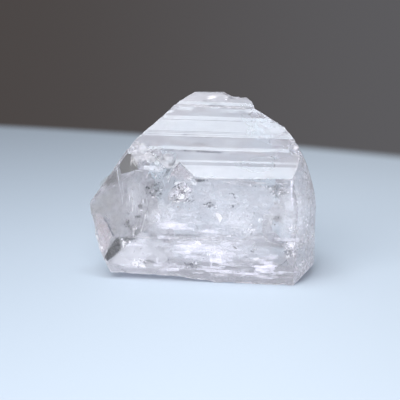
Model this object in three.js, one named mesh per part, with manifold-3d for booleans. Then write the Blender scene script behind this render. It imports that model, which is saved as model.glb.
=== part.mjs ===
// A danburite crystal lying on its side: one stout, colourless prism with a wedge-shaped
// pointed end at -X, a rounded broken end at +X and growth ledges that run along it.
//
// Millimetres, +Z up. X is the crystal's own long axis. The broad front face looks to -Y and
// the crystal rests on z = 0, with its origin under the middle of its bounding box.
import * as THREE from 'three';
import { ConvexGeometry } from 'three/addons/geometries/ConvexGeometry.js';
import { mergeVertices } from 'three/addons/utils/BufferGeometryUtils.js';
import Module from 'manifold-3d';

const wasm = await Module();
wasm.setup();

// ---------------------------------------------------------------- driving dimensions (mm, degrees)

const HEART = new THREE.Vector3(0, 0, 12); // every flat face is measured out from this point
const BLANK_HALF_LENGTH = 19;              // the blank is longer than the crystal at both ends
const CUTTER = 80;                         // side of the boxes that trim the blank

// The section across the long axis, walked from the front's lower edge, up and over to the back.
// Each step is [slope in degrees, length]; 0 runs to the back, 90 runs straight up.
const FRONT_FOOT = { y: -9.7, z: 0 };
const FRONT_STEPS = [[90, 1.15], [150, 0.07], [88, 13.89]];
const LEDGE_STEPS = [
  [40, 2.32], [54, 0.49], [41, 0.35], [51, 1.62], [40, 0.23], [47, 0.36], [52, 1.68],
  [40, 0.27], [54, 0.07], [40, 0.3], [54, 0.08], [40, 0.15], [54, 0.07], [40, 2.12],
  [54, 0.1], [41, 0.67], [50, 1.35], [52, 0.32], [18, 0.57], [41, 0.65],
];
const CREST_STEPS = [[22, 2.86], [-4.5, 2.2]];
const REAR_STEPS = [
  [-41, 1.6], [-56, 0.5], [-40, 0.9], [-58, 1.3], [-44, 2.2], [-60, 0.6], [-42, 0.9],
  [-88, 5.4], [-62, 0.3], [-92, 4.6], [-118, 0.25], [-91, 3.3],
  [-128, 2.1], [-140, 0.7], [-126, 1.6],
];

// The ledges close up towards +X: the highest one falls by this much for each millimetre along.
const LEDGE_FAN = 0.025;
const LEDGE_SLOPE = 44;

// Flat faces of the pointed end: the angle off the long axis, the turn about that axis
// (0 is the front, 90 the top), and the distance from the heart.
const POINT_FACES = {
  broadFront: { polar: 76, around: 15.8, reach: 9.54 },
  upperRear: { polar: 38.2, around: 124, reach: 10.15 },
  crestShoulder: { polar: 49.5, around: 108, reach: 12.35 },
  lowerRear: { polar: 33.9, around: 207.4, reach: 11.1 },
  lowerCorner: { polar: 32, around: 256, reach: 15.55 },
};

// Growth layers that stop short: the face beyond such a layer is turned a little and sits further
// back, on the far side of the edges that the limits give.
const SHORT_LAYERS = {
  lowerFront: {
    direction: [-0.016, -1, 0.035], through: [3.2, -9.54, 6.2],
    limits: [{ facing: [0, 0, -1], through: [0, 0, 6.2] }],
  },
  browStair: {
    direction: [0.02, -1, 0.035], through: [9.3, -9.16, 14.9],
    limits: [{ facing: [0, 0, 1], through: [0, 0, 14.55] }],
  },
  secondStair: {
    direction: [0.05, -1, 0.035], through: [10.4, -9.22, 14],
    limits: [{ facing: [0.1, 0, 1], through: [11, 0, 13.8] }],
  },
  browCorner: {
    direction: [-0.29, -0.765, 0.575], through: [-0.3, -9.6, 14.8],
    limits: [
      { facing: [0.87, -0.33, -0.36], through: [-3.5, -7.5, 16.7] },
      { facing: [-0.71, -0.44, -0.55], through: [-2.94, -7.34, 16.55] },
    ],
  },
  upperRearFacet: {
    direction: [-0.806, 0.35, 0.478], through: [-15.2, -2.1, 13.4],
    limits: [{ facing: [-0.3, 0.2, -1], through: [-12.5, 1.5, 15.6] }],
  },
  crestEnd: {
    direction: [0.67, 0.3, 0.68], through: [8.2, 0, 23.05],
    limits: [{ facing: [-1, -0.1, -0.25], through: [6.7, -0.65, 23.9] }],
  },
  shoulder: {
    direction: [0.555, 0.367, 0.746], through: [6.8, -0.65, 23.85],
    limits: [{ facing: [1, 0.1, 0.25], through: [6.7, -0.65, 23.9] }],
  },
  rearWall: {
    direction: [-0.02, 1, -0.02], through: [6, 9.5, 8],
    limits: [{ facing: [-0.15, 0, -1], through: [0, 9, 12.6] }],
  },
};

// The broken end bulges out from an upright axis that leans back above the brow:
// [height, radius] from the foot to the top.
const BREAK_AXIS = { x: 2.5, y: -2, leanFrom: 15, lean: 0.3 };
const BREAK_RINGS = [
  [-1, 13.45], [1.4, 13.45], [5, 13.35], [9, 13.5], [11, 13.6], [13, 13.35], [15.2, 12.7], [16.8, 12.1],
  [18.9, 12.4], [20.6, 11.4], [22.2, 9.2], [23.9, 4.3], [25.4, 2.9], [26.2, 1],
];
const BREAK_SECTORS = 22;
const BREAK_ROUGHNESS = 0.16;

// Flat cuts across the broken end.
const BREAK_FACETS = {
  rearBrow: { direction: [0.81, 0.34, 0.47], through: [11.24, -2.78, 21.59] },
  rearFlank: { direction: [0.9, 0.3, 0.32], through: [14.4, -3, 16.6] },
  footChamfer: { direction: [0.72, -0.12, -0.68], through: [13.4, -9.75, 0.05] },
};

// The underside is broken away below the front of the pointed end.
const HOLLOW_OUTLINE = [
  [-22, -2], [-22, 0.95], [-12, 0.86], [-4.6, 0.72], [-2.6, 0.42], [-0.4, 0.3], [0.6, -0.02], [0.7, -2],
];
const HOLLOW_DEPTH = 6.5;
const HOLLOW_TURN = 9;

// Shell-shaped chips: the point struck, the way it faces, the ball's radius, and how deep it bites.
const CHIPS = [
  { at: [-14.9, -8, 6.8], facing: [-0.35, -0.9, 0.26], radius: 6, depth: 0.7 },
  { at: [-10.1, -5.75, 18.5], facing: [-0.3, -0.75, 0.55], radius: 1.7, depth: 0.4 },
  { at: [-8.8, -6.05, 18.6], facing: [-0.1, -0.7, 0.7], radius: 1.6, depth: 0.45 },
  { at: [-7.4, -6.4, 18.6], facing: [-0.1, -0.6, 0.75], radius: 1.5, depth: 0.4 },
  { at: [-9.3, -6.3, 17.2], facing: [-0.3, -0.9, 0.3], radius: 2.2, depth: 0.32 },
  { at: [-7.6, -6.8, 17.3], facing: [-0.2, -0.9, 0.4], radius: 1.9, depth: 0.28 },
  { at: [-6.1, -6.9, 18.2], facing: [-0.1, -0.8, 0.6], radius: 1.3, depth: 0.3 },
  { at: [-4.6, -6.85, 17.2], facing: [-0.3, -0.85, 0.45], radius: 1.7, depth: 0.3 },
  { at: [-0.9, -9.3, 14.6], facing: [-0.1, -0.95, 0.3], radius: 1.2, depth: 0.28 },
  { at: [12.8, -5.2, 18.8], facing: [0.6, -0.6, 0.5], radius: 1.3, depth: 0.35 },
  { at: [3.8, 4.2, 25.5], facing: [0.2, 0, 0.98], radius: 3.6, depth: 1.4 },
  { at: [6.9, 0.9, 24.3], facing: [0.75, -0.2, 0.6], radius: 1.6, depth: 0.5 },
  { at: [14.9, -7.6, 2.4], facing: [0.8, -0.6, -0.1], radius: 2.6, depth: 0.4 },
  { at: [6.5, 9.4, 19.3], facing: [0.3, 0.8, 0.5], radius: 2.8, depth: 0.6 },
  { at: [-9.6, 8.9, 14.5], facing: [-0.6, 0.8, 0.2], radius: 3.2, depth: 0.7 },
  { at: [9.6, 8.6, 6.2], facing: [0.6, 0.8, -0.2], radius: 4.2, depth: 0.8 },
];

const CHIP_FINENESS = 1.2;    // rows of facets on a chip's ball for each millimetre of its radius
const CHIP_UNEVENNESS = 0.12; // how far the ball's corners stray in and out, in all

const COLOUR = 0xdcdbe4;

// ------------------------------------------------------------------------------------------ tools

const radians = THREE.MathUtils.degToRad;

/** A repeatable stream of numbers from 0 to 1. */
function seededRandom(seed) {
  let state = seed;
  return () => {
    state = (state * 1664525 + 1013904223) % 4294967296;
    return state / 4294967296;
  };
}

/** Turns a closed three.js geometry into a solid that can be joined and cut. */
function toSolid(geometry) {
  const bare = geometry.clone();
  bare.deleteAttribute('normal');
  bare.deleteAttribute('uv');
  const welded = mergeVertices(bare, 1e-5);
  const mesh = new wasm.Mesh({
    numProp: 3,
    vertProperties: new Float32Array(welded.attributes.position.array),
    triVerts: new Uint32Array(welded.index.array),
  });
  return new wasm.Manifold(mesh);
}

/** Turns a solid back into a three.js geometry with flat-shaded faces. */
function toGeometry(solid) {
  const mesh = solid.getMesh();
  const geometry = new THREE.BufferGeometry();
  geometry.setAttribute('position', new THREE.BufferAttribute(mesh.vertProperties, 3));
  geometry.setIndex(new THREE.BufferAttribute(mesh.triVerts, 1));
  geometry.computeVertexNormals();
  return geometry;
}

/** The outward direction of a face, from its angle off the pointed end and its turn about X. */
function facing(polar, around) {
  const lean = Math.sin(radians(polar));
  return new THREE.Vector3(
    -Math.cos(radians(polar)),
    -lean * Math.cos(radians(around)),
    lean * Math.sin(radians(around)),
  );
}

/** Everything beyond a flat face that passes through a point. */
function beyond(direction, point) {
  const block = new THREE.BoxGeometry(CUTTER, CUTTER, CUTTER);
  block.translate(0, 0, CUTTER / 2);
  const turn = new THREE.Quaternion().setFromUnitVectors(new THREE.Vector3(0, 0, 1), direction);
  block.applyQuaternion(turn);
  block.translate(point.x, point.y, point.z);
  return toSolid(block);
}

/** Follows steps of slope and length across the section, and returns the corners it passes. */
function walk(start, steps) {
  const corners = [];
  let { y, z } = start;
  for (const [slope, length] of steps) {
    y += length * Math.cos(radians(slope));
    z += length * Math.sin(radians(slope));
    corners.push({ y, z });
  }
  return corners;
}

// ------------------------------------------------------------------------------------- the pieces

/** The ledged prism: its section drawn out along X, with the ledges closing up towards +X. */
function ledgedPrism() {
  const front = walk(FRONT_FOOT, FRONT_STEPS);
  const brow = front.at(-1);
  const ledges = walk(brow, LEDGE_STEPS);
  const crest = walk(ledges.at(-1), CREST_STEPS);
  const rear = walk(crest.at(-1), REAR_STEPS);
  const corners = [FRONT_FOOT, ...front, ...ledges, ...crest, ...rear, { y: rear.at(-1).y - 0.4, z: 0 }];

  const outline = new THREE.Shape(corners.map(({ y, z }) => new THREE.Vector2(y, z)));
  const prism = new THREE.ExtrudeGeometry(outline, {
    depth: 2 * BLANK_HALF_LENGTH,
    bevelEnabled: false,
    steps: 1,
  });
  prism.translate(0, 0, -BLANK_HALF_LENGTH);
  prism.applyMatrix4(new THREE.Matrix4().makeBasis(
    new THREE.Vector3(0, 1, 0),
    new THREE.Vector3(0, 0, 1),
    new THREE.Vector3(1, 0, 0),
  ));

  const rise = ledges.at(-1).z - brow.z;
  const crestEdge = ledges.at(-1).y;
  const place = prism.attributes.position;
  for (let i = 0; i < place.count; i += 1) {
    const height = (place.getZ(i) - brow.z) / rise;
    if (height > 0 && place.getY(i) < crestEdge + 0.01) {
      const slip = LEDGE_FAN * place.getX(i) * height ** 2;
      place.setY(i, place.getY(i) - slip * Math.cos(radians(LEDGE_SLOPE)));
      place.setZ(i, place.getZ(i) - slip * Math.sin(radians(LEDGE_SLOPE)));
    }
  }
  return toSolid(prism);
}

/** The hull that the broken end is rounded to, reaching far past the pointed end. */
function brokenEndHull() {
  const random = seededRandom(11);
  const points = [];
  for (const [height, radius] of BREAK_RINGS) {
    const centreY = BREAK_AXIS.y + BREAK_AXIS.lean * Math.max(0, height - BREAK_AXIS.leanFrom);
    for (let sector = 0; sector < BREAK_SECTORS; sector += 1) {
      const turn = radians(-100 + (200 * sector) / (BREAK_SECTORS - 1) + 4 * (random() - 0.5));
      const reach = radius - BREAK_ROUGHNESS * random();
      points.push(new THREE.Vector3(
        BREAK_AXIS.x + reach * Math.cos(turn),
        centreY + reach * Math.sin(turn),
        height + BREAK_ROUGHNESS * (random() - 0.5),
      ));
    }
  }
  for (const y of [-CUTTER / 4, CUTTER / 4]) {
    points.push(new THREE.Vector3(-CUTTER / 3, y, -2), new THREE.Vector3(-CUTTER / 3, y, CUTTER / 2));
  }
  return toSolid(new ConvexGeometry(points));
}

/** The half-space beyond a point, in a direction given as three numbers. */
function halfSpace(facing, through) {
  return beyond(new THREE.Vector3(...facing).normalize(), new THREE.Vector3(...through));
}

/** The thin slice that a growth layer lacks where it stops short. */
function missingLayer({ direction, through, limits }) {
  let slice = halfSpace(direction, through);
  for (const limit of limits) {
    slice = slice.intersect(halfSpace(limit.facing, limit.through));
  }
  return slice;
}

/** The wedge that is broken away from the underside. */
function undersideHollow() {
  const outline = new THREE.Shape(HOLLOW_OUTLINE.map(([x, z]) => new THREE.Vector2(x, z)));
  const wedge = new THREE.ExtrudeGeometry(outline, { depth: 20, bevelEnabled: false, steps: 1 });
  wedge.rotateX(Math.PI / 2);
  wedge.translate(0, FRONT_FOOT.y + HOLLOW_DEPTH, 0);
  wedge.rotateZ(radians(HOLLOW_TURN));
  return toSolid(wedge);
}

/** A slightly uneven ball, placed so that it bites a shell-shaped chip out of the surface. */
function chipCutter({ at, facing: outward, radius, depth }, seed) {
  const random = seededRandom(seed);
  const ball = new THREE.IcosahedronGeometry(radius, Math.ceil(radius * CHIP_FINENESS));
  ball.deleteAttribute('normal');
  ball.deleteAttribute('uv');
  const welded = mergeVertices(ball, 1e-5);
  const place = welded.attributes.position;
  for (let i = 0; i < place.count; i += 1) {
    const swell = 1 + (CHIP_UNEVENNESS / radius) * (random() - 0.5);
    place.setXYZ(i, place.getX(i) * swell, place.getY(i) * swell, place.getZ(i) * swell);
  }
  const away = new THREE.Vector3(...outward).normalize().multiplyScalar(radius - depth);
  welded.translate(at[0] + away.x, at[1] + away.y, at[2] + away.z);
  return toSolid(welded);
}

/** The whole crystal as one solid. */
function crystalSolid() {
  let solid = ledgedPrism().intersect(brokenEndHull());
  for (const { polar, around, reach } of Object.values(POINT_FACES)) {
    const direction = facing(polar, around);
    const point = HEART.clone().addScaledVector(direction, reach);
    solid = solid.subtract(beyond(direction, point));
  }
  for (const facet of Object.values(BREAK_FACETS)) {
    const direction = new THREE.Vector3(...facet.direction).normalize();
    solid = solid.subtract(beyond(direction, new THREE.Vector3(...facet.through)));
  }
  for (const layer of Object.values(SHORT_LAYERS)) {
    solid = solid.subtract(missingLayer(layer));
  }
  solid = solid.subtract(undersideHollow());
  CHIPS.forEach((chip, index) => {
    solid = solid.subtract(chipCutter(chip, 101 + index));
  });
  return solid;
}

// -------------------------------------------------------------------------------------- the model

const crystalGeometry = toGeometry(crystalSolid());
crystalGeometry.computeBoundingBox();
const middle = crystalGeometry.boundingBox.getCenter(new THREE.Vector3());

const crystal = new THREE.Mesh(
  crystalGeometry,
  new THREE.MeshStandardMaterial({ color: COLOUR, roughness: 0.12, metalness: 0 }),
);
crystal.name = 'crystal';
crystal.position.set(-middle.x, -middle.y, -crystalGeometry.boundingBox.min.z);

const group = new THREE.Group();
group.name = 'danburite_crystal';
group.add(crystal);

export default group;
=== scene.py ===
"""A danburite crystal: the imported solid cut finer, given its relief, and dressed as clear crystal.

The crystal lies along X with its pointed end at -X and its broad front face to -Y. Sizes inside the
classes are millimetres, as a mineral collector would give them, and become metres as meshes are made.
"""

import itertools
import logging
import math
from dataclasses import dataclass
from enum import Enum, IntEnum
from typing import Any, Dict, List, Optional, Sequence, Tuple, Union

import bmesh
import bpy
import numpy as np
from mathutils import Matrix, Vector
from mathutils.bvhtree import BVHTree
from mathutils.geometry import delaunay_2d_cdt


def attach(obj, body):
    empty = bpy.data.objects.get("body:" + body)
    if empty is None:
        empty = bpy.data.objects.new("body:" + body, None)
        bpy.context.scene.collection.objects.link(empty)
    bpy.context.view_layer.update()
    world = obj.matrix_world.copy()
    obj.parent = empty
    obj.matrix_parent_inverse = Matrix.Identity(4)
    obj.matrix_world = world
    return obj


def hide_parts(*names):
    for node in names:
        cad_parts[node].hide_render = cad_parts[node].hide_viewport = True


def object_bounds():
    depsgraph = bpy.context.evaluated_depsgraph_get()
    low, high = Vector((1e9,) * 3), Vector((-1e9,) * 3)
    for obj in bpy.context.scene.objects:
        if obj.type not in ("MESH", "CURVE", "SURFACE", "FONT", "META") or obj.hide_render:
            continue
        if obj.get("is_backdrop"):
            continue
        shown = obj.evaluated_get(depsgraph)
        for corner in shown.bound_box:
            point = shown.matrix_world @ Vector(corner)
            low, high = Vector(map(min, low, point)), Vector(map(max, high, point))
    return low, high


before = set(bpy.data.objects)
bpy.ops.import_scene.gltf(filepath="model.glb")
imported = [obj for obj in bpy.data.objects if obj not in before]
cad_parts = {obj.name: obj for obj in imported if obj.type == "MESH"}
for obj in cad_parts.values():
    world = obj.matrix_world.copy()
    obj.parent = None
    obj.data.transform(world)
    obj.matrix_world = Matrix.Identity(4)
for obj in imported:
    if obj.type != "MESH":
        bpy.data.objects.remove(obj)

LOG = logging.getLogger("danburite")
MM = 0.001
LIGHT_BOUNCES = 24
GLOSSY_BOUNCES = 8
LAMP_POWER = 4.0
CRYSTAL_NODE = "crystal"
BODY = "root"
PANEL_THICKNESS = 0.02
PLATE_HALF_THICKNESS = 0.012
SHEET_HALF_THICKNESS = 0.015
CLEARANCE = 0.05
Array = np.ndarray
Pair = Tuple[float, float]
Triple = Tuple[float, float, float]


class Surface(Enum):
    """The crystal's kinds of surface."""

    BROKEN = "broken"
    UNDER = "underside"
    LEDGES = "stepped ledges of the roof"
    FRONT = "broad front face"
    CREST = "flat top of the crest"
    REAR = "faces turned away to the rear"
    POINT = "facets of the pointed end"


class Pattern(IntEnum):
    """The seed of each noise pattern and of each random scatter on the crystal's surface."""

    LATTICE = 5
    LONG_WAVES = 11
    LAYERS = 23
    SHELLS = 31
    ROUGHNESS = 41
    GROOVES = 51
    BRUISES = 55
    POINT_WAVES = 61
    NICKS = 71
    HAZE = 81
    WEAR = 91
    # the painted shade in the creases between ledges
    CREASE_SHADE = 97


# ----------------------------------------------------------------------------------- shader maths


class Wire:
    """A socket, or a plain number, that can be used in Python expressions."""

    def __init__(self, book: "ShaderBook", source: Any) -> None:
        """Remembers the node tree's book and the socket or number."""
        self.book = book
        self.source = source

    def _math(self, operation: str, *values: Any, clamp: bool = False) -> "Wire":
        """Adds one Math node.

        Args:
            operation: The Math node's operation.
            values: Up to three numbers or wires.
            clamp: Whether the result is held between 0 and 1.

        Returns:
            The node's result.
        """
        settings = {"operation": operation, "use_clamp": clamp}
        return self.book.node("ShaderNodeMath", settings, dict(enumerate(values)))

    def __add__(self, other: Any) -> "Wire":
        """Sum."""
        return self._math("ADD", self, other)

    def __radd__(self, other: Any) -> "Wire":
        """Sum, with the number first."""
        return self._math("ADD", other, self)

    def __sub__(self, other: Any) -> "Wire":
        """Difference."""
        return self._math("SUBTRACT", self, other)

    def __rsub__(self, other: Any) -> "Wire":
        """Difference, with the number first."""
        return self._math("SUBTRACT", other, self)

    def __mul__(self, other: Any) -> "Wire":
        """Product."""
        return self._math("MULTIPLY", self, other)

    def __rmul__(self, other: Any) -> "Wire":
        """Product, with the number first."""
        return self._math("MULTIPLY", other, self)

    def clamp(self) -> "Wire":
        """The value held between 0 and 1."""
        return self._math("ADD", self, 0.0, clamp=True)

    def band(self, low: float, high: float) -> "Wire":
        """A smooth step from 0 below `low` to 1 above `high`."""
        inputs = {"Value": self, "From Min": low, "From Max": high, "To Min": 0.0, "To Max": 1.0}
        return self.book.node("ShaderNodeMapRange", {"interpolation_type": "SMOOTHSTEP"}, inputs)

    def larger(self, other: Any) -> "Wire":
        """The larger of two values."""
        return self._math("MAXIMUM", self, other)


class ShaderBook:
    """Writes the node tree of one material or world."""

    def __init__(self, tree: bpy.types.NodeTree) -> None:
        """Clears the tree and gets ready to write in it."""
        self.tree = tree
        tree.nodes.clear()

    def node(
        self,
        kind: str,
        settings: Optional[Dict[str, Any]] = None,
        inputs: Optional[Dict[Union[str, int], Any]] = None,
        output: Union[str, int] = 0,
    ) -> Wire:
        """Adds any node.

        Args:
            kind: The node's type name.
            settings: Properties, set first.
            inputs: Numbers, tuples or wires for the sockets, by name or number.
            output: The socket to give back, by name or number.

        Returns:
            The chosen output.
        """
        made = self.tree.nodes.new(kind)
        for name, value in (settings or {}).items():
            setattr(made, name, value)
        for name, value in (inputs or {}).items():
            socket = made.inputs[name]
            if isinstance(value, Wire):
                self.tree.links.new(value.source, socket)
            else:
                socket.default_value = value
        return Wire(self, made.outputs[output] if made.outputs else made)

    def attribute(self, name: str) -> Wire:
        """The value that a mesh attribute has at the shaded point."""
        settings = {"attribute_type": "GEOMETRY", "attribute_name": name}
        return self.node("ShaderNodeAttribute", settings, output="Fac")

    def place(self, stretch: Sequence[float], shift: Sequence[float] = (0.0, 0.0, 0.0)) -> Wire:
        """The shaded point in the crystal's own frame, in millimetres, scaled along each axis.

        Args:
            stretch: Factors on X, Y and Z; a small one draws a pattern out along that axis.
            shift: Millimetres added before the factors are used.

        Returns:
            The scaled point.
        """
        point = self.node("ShaderNodeTexCoord", output="Object")
        moved = tuple(s * k for s, k in zip(shift, stretch))
        inputs = {0: point, 1: tuple(s / MM for s in stretch), 2: moved}
        return self.node("ShaderNodeVectorMath", {"operation": "MULTIPLY_ADD"}, inputs)

    def noise(self, at: Wire, scale: float, detail: float = 3.0, roughness: float = 0.55) -> Wire:
        """A cloud-like value around 0.5 at a point, by the pattern's scale, detail and roughness."""
        inputs = {"Vector": at, "Scale": scale, "Detail": detail, "Roughness": roughness}
        return self.node("ShaderNodeTexNoise", None, inputs, "Fac")

    def blend(self, share: Any, first: Sequence[float], second: Sequence[float]) -> Wire:
        """A colour between two colours."""
        inputs = {0: share, 6: (*first, 1.0), 7: (*second, 1.0)}
        return self.node("ShaderNodeMix", {"data_type": "RGBA"}, inputs, 2)

    def bump(self, height: Wire, depth: float, strength: float = 1.0) -> Wire:
        """A normal tilted by a height pattern of the given depth in millimetres."""
        inputs = {"Height": height, "Distance": depth * MM, "Strength": strength}
        return self.node("ShaderNodeBump", None, inputs)

    def finish(self, surface: Wire, volume: Optional[Wire] = None) -> None:
        """Joins a surface, and a volume if there is one, to the material's output.

        Args:
            surface: The surface shader.
            volume: The shader of what lies inside.
        """
        inputs = {"Surface": surface}
        if volume is not None:
            inputs["Volume"] = volume
        self.node("ShaderNodeOutputMaterial", None, inputs)


def new_material(name: str) -> Tuple[bpy.types.Material, ShaderBook]:
    """Makes an empty material.

    Args:
        name: What it is called.

    Returns:
        The material and the book that writes its nodes.
    """
    material = bpy.data.materials.new(name)
    material.use_nodes = True
    return material, ShaderBook(material.node_tree)


# --------------------------------------------------------------------------------------- finishes


@dataclass(frozen=True)
class ClearCrystal:
    """Colourless danburite: glassy faces, fine striations, and pale, scattering breaks and rear; the dark
    lines in the creases between some ledges are painted shade.
    """

    ior: float = 1.633
    tint: Triple = (0.90, 0.88, 0.94)
    tint_density: float = 12.0
    face_roughness: float = 0.012
    worn_roughness: float = 0.30
    frost_colour: Triple = (0.95, 0.91, 0.93)
    crease_shade_colour: Triple = (0.13, 0.13, 0.15)

    def material(self) -> bpy.types.Material:
        """Writes the crystal's material.

        Returns:
            The material.
        """
        material, book = new_material("clear_danburite")
        worn, ledged, frosted = (book.attribute(mark) for mark in ("worn", "ledged", "frosted"))
        lines = book.noise(book.place((0.06, 1.0, 1.0)), 2.6, 2.0, 0.5)
        pitted = book.noise(book.place((1.0, 1.0, 1.0)), 2.2, 4.0, 0.6)
        hazed = book.attribute("hazed")
        cloudy = book.noise(book.place((0.7, 1.0, 1.6), (3.0, 1.0, 5.0)), 0.9, 3.0, 0.55)
        grooves = book.noise(book.place((0.08, 1.0, 1.0), (9.0, 2.0, 4.0)), 2.4, 4.0, 0.6)
        height = lines * ledged * 0.07 + (pitted * 0.12 + grooves * 0.7) * worn
        inputs = {
            "Base Color": (1.0, 1.0, 1.0, 1.0),
            "Roughness": worn * self.worn_roughness * (pitted + 0.5) + self.face_roughness,
            "IOR": self.ior,
            "Transmission Weight": 1.0,
            "Normal": book.bump(height, 0.05, 1.0),
        }
        glassy = book.node("ShaderNodeBsdfPrincipled", None, inputs)
        through = book.node("ShaderNodeBsdfTranslucent", None, {"Color": (*self.frost_colour, 1.0)})
        matt = book.node("ShaderNodeBsdfDiffuse", None, {"Color": (*self.frost_colour, 1.0)})
        chalky = book.node("ShaderNodeMixShader", None, {0: 0.4, 1: through, 2: matt})
        share = (frosted * (cloudy.band(0.3, 0.75) * 0.75 + 0.35) + hazed).clamp()
        clean = book.node("ShaderNodeMixShader", None, {0: share, 1: glassy, 2: chalky})
        # painted shade: a dark diffuse colour in the creases between some ledges
        crease_shade = book.node("ShaderNodeBsdfDiffuse", None, {"Color": (*self.crease_shade_colour, 1.0)})
        surface = book.node("ShaderNodeMixShader", None, {0: book.attribute("crease_shaded"), 1: clean, 2: crease_shade})
        absorbed = {"Color": (*self.tint, 1.0), "Density": self.tint_density}
        book.finish(surface, book.node("ShaderNodeVolumeAbsorption", None, absorbed))
        return material


@dataclass(frozen=True)
class AirGap:
    """The inside of a crack: air, which turns light back like a mirror when met at a slant."""

    ior: float = 1.0 / 1.633

    def material(self) -> bpy.types.Material:
        """Writes the crack's material.

        Returns:
            The material.
        """
        material, book = new_material("air_gap")
        ripple = book.noise(book.place((1.0, 1.0, 1.0)), 3.0, 3.0, 0.6)
        inputs = {
            "Color": (1.0, 1.0, 1.0, 1.0),
            "Roughness": 0.02,
            "IOR": self.ior,
            "Normal": book.bump(ripple, 0.03, 1.0),
        }
        book.finish(book.node("ShaderNodeBsdfGlass", None, inputs))
        return material


@dataclass(frozen=True)
class Fleck:
    """A speck inside the crystal: a bright glint, or a dark grain. A bright speck shines with painted light,
    a highlight with no lamp behind it.
    """

    name: str
    colour: Triple
    painted_glow: float

    def material(self) -> bpy.types.Material:
        """Writes the speck's material.

        Returns:
            The material.
        """
        material, book = new_material(self.name)
        mottled = book.noise(book.place((1.0, 1.0, 1.0)), 5.0, 2.0, 0.5).band(0.3, 0.7)
        pale = tuple(min(1.0, c * 1.05) for c in self.colour)
        dull = tuple(c * 0.72 for c in self.colour)
        inputs = {
            "Base Color": book.blend(mottled, dull, pale),
            "Roughness": 0.5,
            # painted light: the speck shines with no lamp
            "Emission Color": (*self.colour, 1.0),
            "Emission Strength": self.painted_glow,
        }
        book.finish(book.node("ShaderNodeBsdfPrincipled", None, inputs))
        return material


@dataclass(frozen=True)
class SplinterShade:
    """The splinters of a shattered patch, each somewhere from dark to bright; the bright ones shine with
    painted light, as painted sparkle.
    """

    dark: Triple = (0.02, 0.02, 0.03)
    bright: Triple = (0.97, 0.95, 1.0)
    painted_glow: float = 0.42

    def material(self) -> bpy.types.Material:
        """Writes the splinters' material.

        Returns:
            The material.
        """
        material, book = new_material("splinter")
        colour = book.blend(book.attribute("cover"), self.dark, self.bright)
        inputs = {
            "Base Color": colour,
            "Roughness": 0.4,
            # painted light: the splinters shine with no lamp
            "Emission Color": colour,
            "Emission Strength": self.painted_glow,
        }
        book.finish(book.node("ShaderNodeBsdfPrincipled", None, inputs))
        return material


@dataclass(frozen=True)
class Wisp:
    """A healed crack, a smoke-grey patch, or painted shade: particles too small to tell apart, thin as smoke,
    or a dark sheet standing for shade. Any shining is painted light.

    An evenness of 1 covers evenly, and 0 breaks the cover up into clouds.
    """

    name: str
    colour: Triple
    painted_glow: float
    grain: float
    stretch: Triple = (1.0, 1.0, 1.0)
    evenness: float = 0.0

    def material(self) -> bpy.types.Material:
        """Writes the veil's material.

        Returns:
            The material.
        """
        material, book = new_material(self.name)
        cover = book.attribute("cover")
        cloud = book.noise(book.place(self.stretch), self.grain, 4.0, 0.6)
        clear = book.node("ShaderNodeBsdfTransparent", None, {"Color": (1.0, 1.0, 1.0, 1.0)})
        inputs = {
            "Base Color": (*self.colour, 1.0),
            "Roughness": 0.6,
            # painted light: the veil shines with no lamp
            "Emission Color": (*self.colour, 1.0),
            "Emission Strength": self.painted_glow,
        }
        milky = book.node("ShaderNodeBsdfPrincipled", None, inputs)
        share = (cover * (cloud.band(0.36, 0.7) * (1.0 - self.evenness) + self.evenness)).clamp()
        book.finish(book.node("ShaderNodeMixShader", None, {0: share, 1: clear, 2: milky}))
        return material


@dataclass(frozen=True)
class PaleTop:
    """The pale tabletop that the crystal stands on; its rim melts softly into the room. Its colour is darker
    towards the left: painted shade, where less lamp light falls.
    """

    near: Triple = (0.56, 0.615, 0.69)
    # painted shade: the darker colour at the left of the top
    left: Triple = (0.44, 0.49, 0.56)
    rim: float = 420.0
    softness: float = 7.0
    middle: float = 0.0
    shade_falloff: Pair = (-70.0, 25.0)

    def material(self) -> bpy.types.Material:
        """Writes the tabletop's material.

        Returns:
            The material.
        """
        material, book = new_material("pale_top")
        point = book.node("ShaderNodeTexCoord", output="Object")
        away = book.node("ShaderNodeVectorMath", {"operation": "LENGTH"}, {0: point}, "Value")
        across = book.node("ShaderNodeSeparateXYZ", None, {0: point}, "X")
        low, high = ((x - self.middle) * MM for x in self.shade_falloff)
        # painted shade: the top grows darker towards the left, across X
        shaded_tone = book.blend(across.band(low, high), self.left, self.near)
        inputs = {"Base Color": shaded_tone, "Roughness": 0.7, "Specular IOR Level": 0.2}
        solid = book.node("ShaderNodeBsdfPrincipled", None, inputs)
        clear = book.node("ShaderNodeBsdfTransparent", None, {"Color": (1.0, 1.0, 1.0, 1.0)})
        share = away.band((self.rim - 2 * self.softness) * MM, self.rim * MM)
        book.finish(book.node("ShaderNodeMixShader", None, {0: share, 1: solid, 2: clear}))
        return material


# ------------------------------------------------------------------------------------------ meshes


def smooth_noise(points: Array, seed: int) -> Array:
    """A smooth random value from -1 to 1 at each point, with features one unit across.

    Args:
        points: Points, one a row.
        seed: Chooses the pattern.

    Returns:
        One value for each point.
    """
    cell = np.floor(points).astype(np.int64)
    inside = points - cell
    ease = inside * inside * (3.0 - 2.0 * inside)
    total = np.zeros(len(points))
    for corner in range(8):
        step = np.array([corner & 1, (corner >> 1) & 1, (corner >> 2) & 1])
        node = (cell + step) * np.array([73856093, 19349663, 83492791])
        mixed = (node[:, 0] ^ node[:, 1] ^ node[:, 2]) + seed * 2654435761
        mixed = (mixed ^ (mixed >> 13)) * 1274126177
        value = ((mixed ^ (mixed >> 16)) & 0xFFFF) / 32767.5 - 1.0
        total += value * np.prod(np.where(step == 1, ease, 1.0 - ease), axis=1)
    return total


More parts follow.
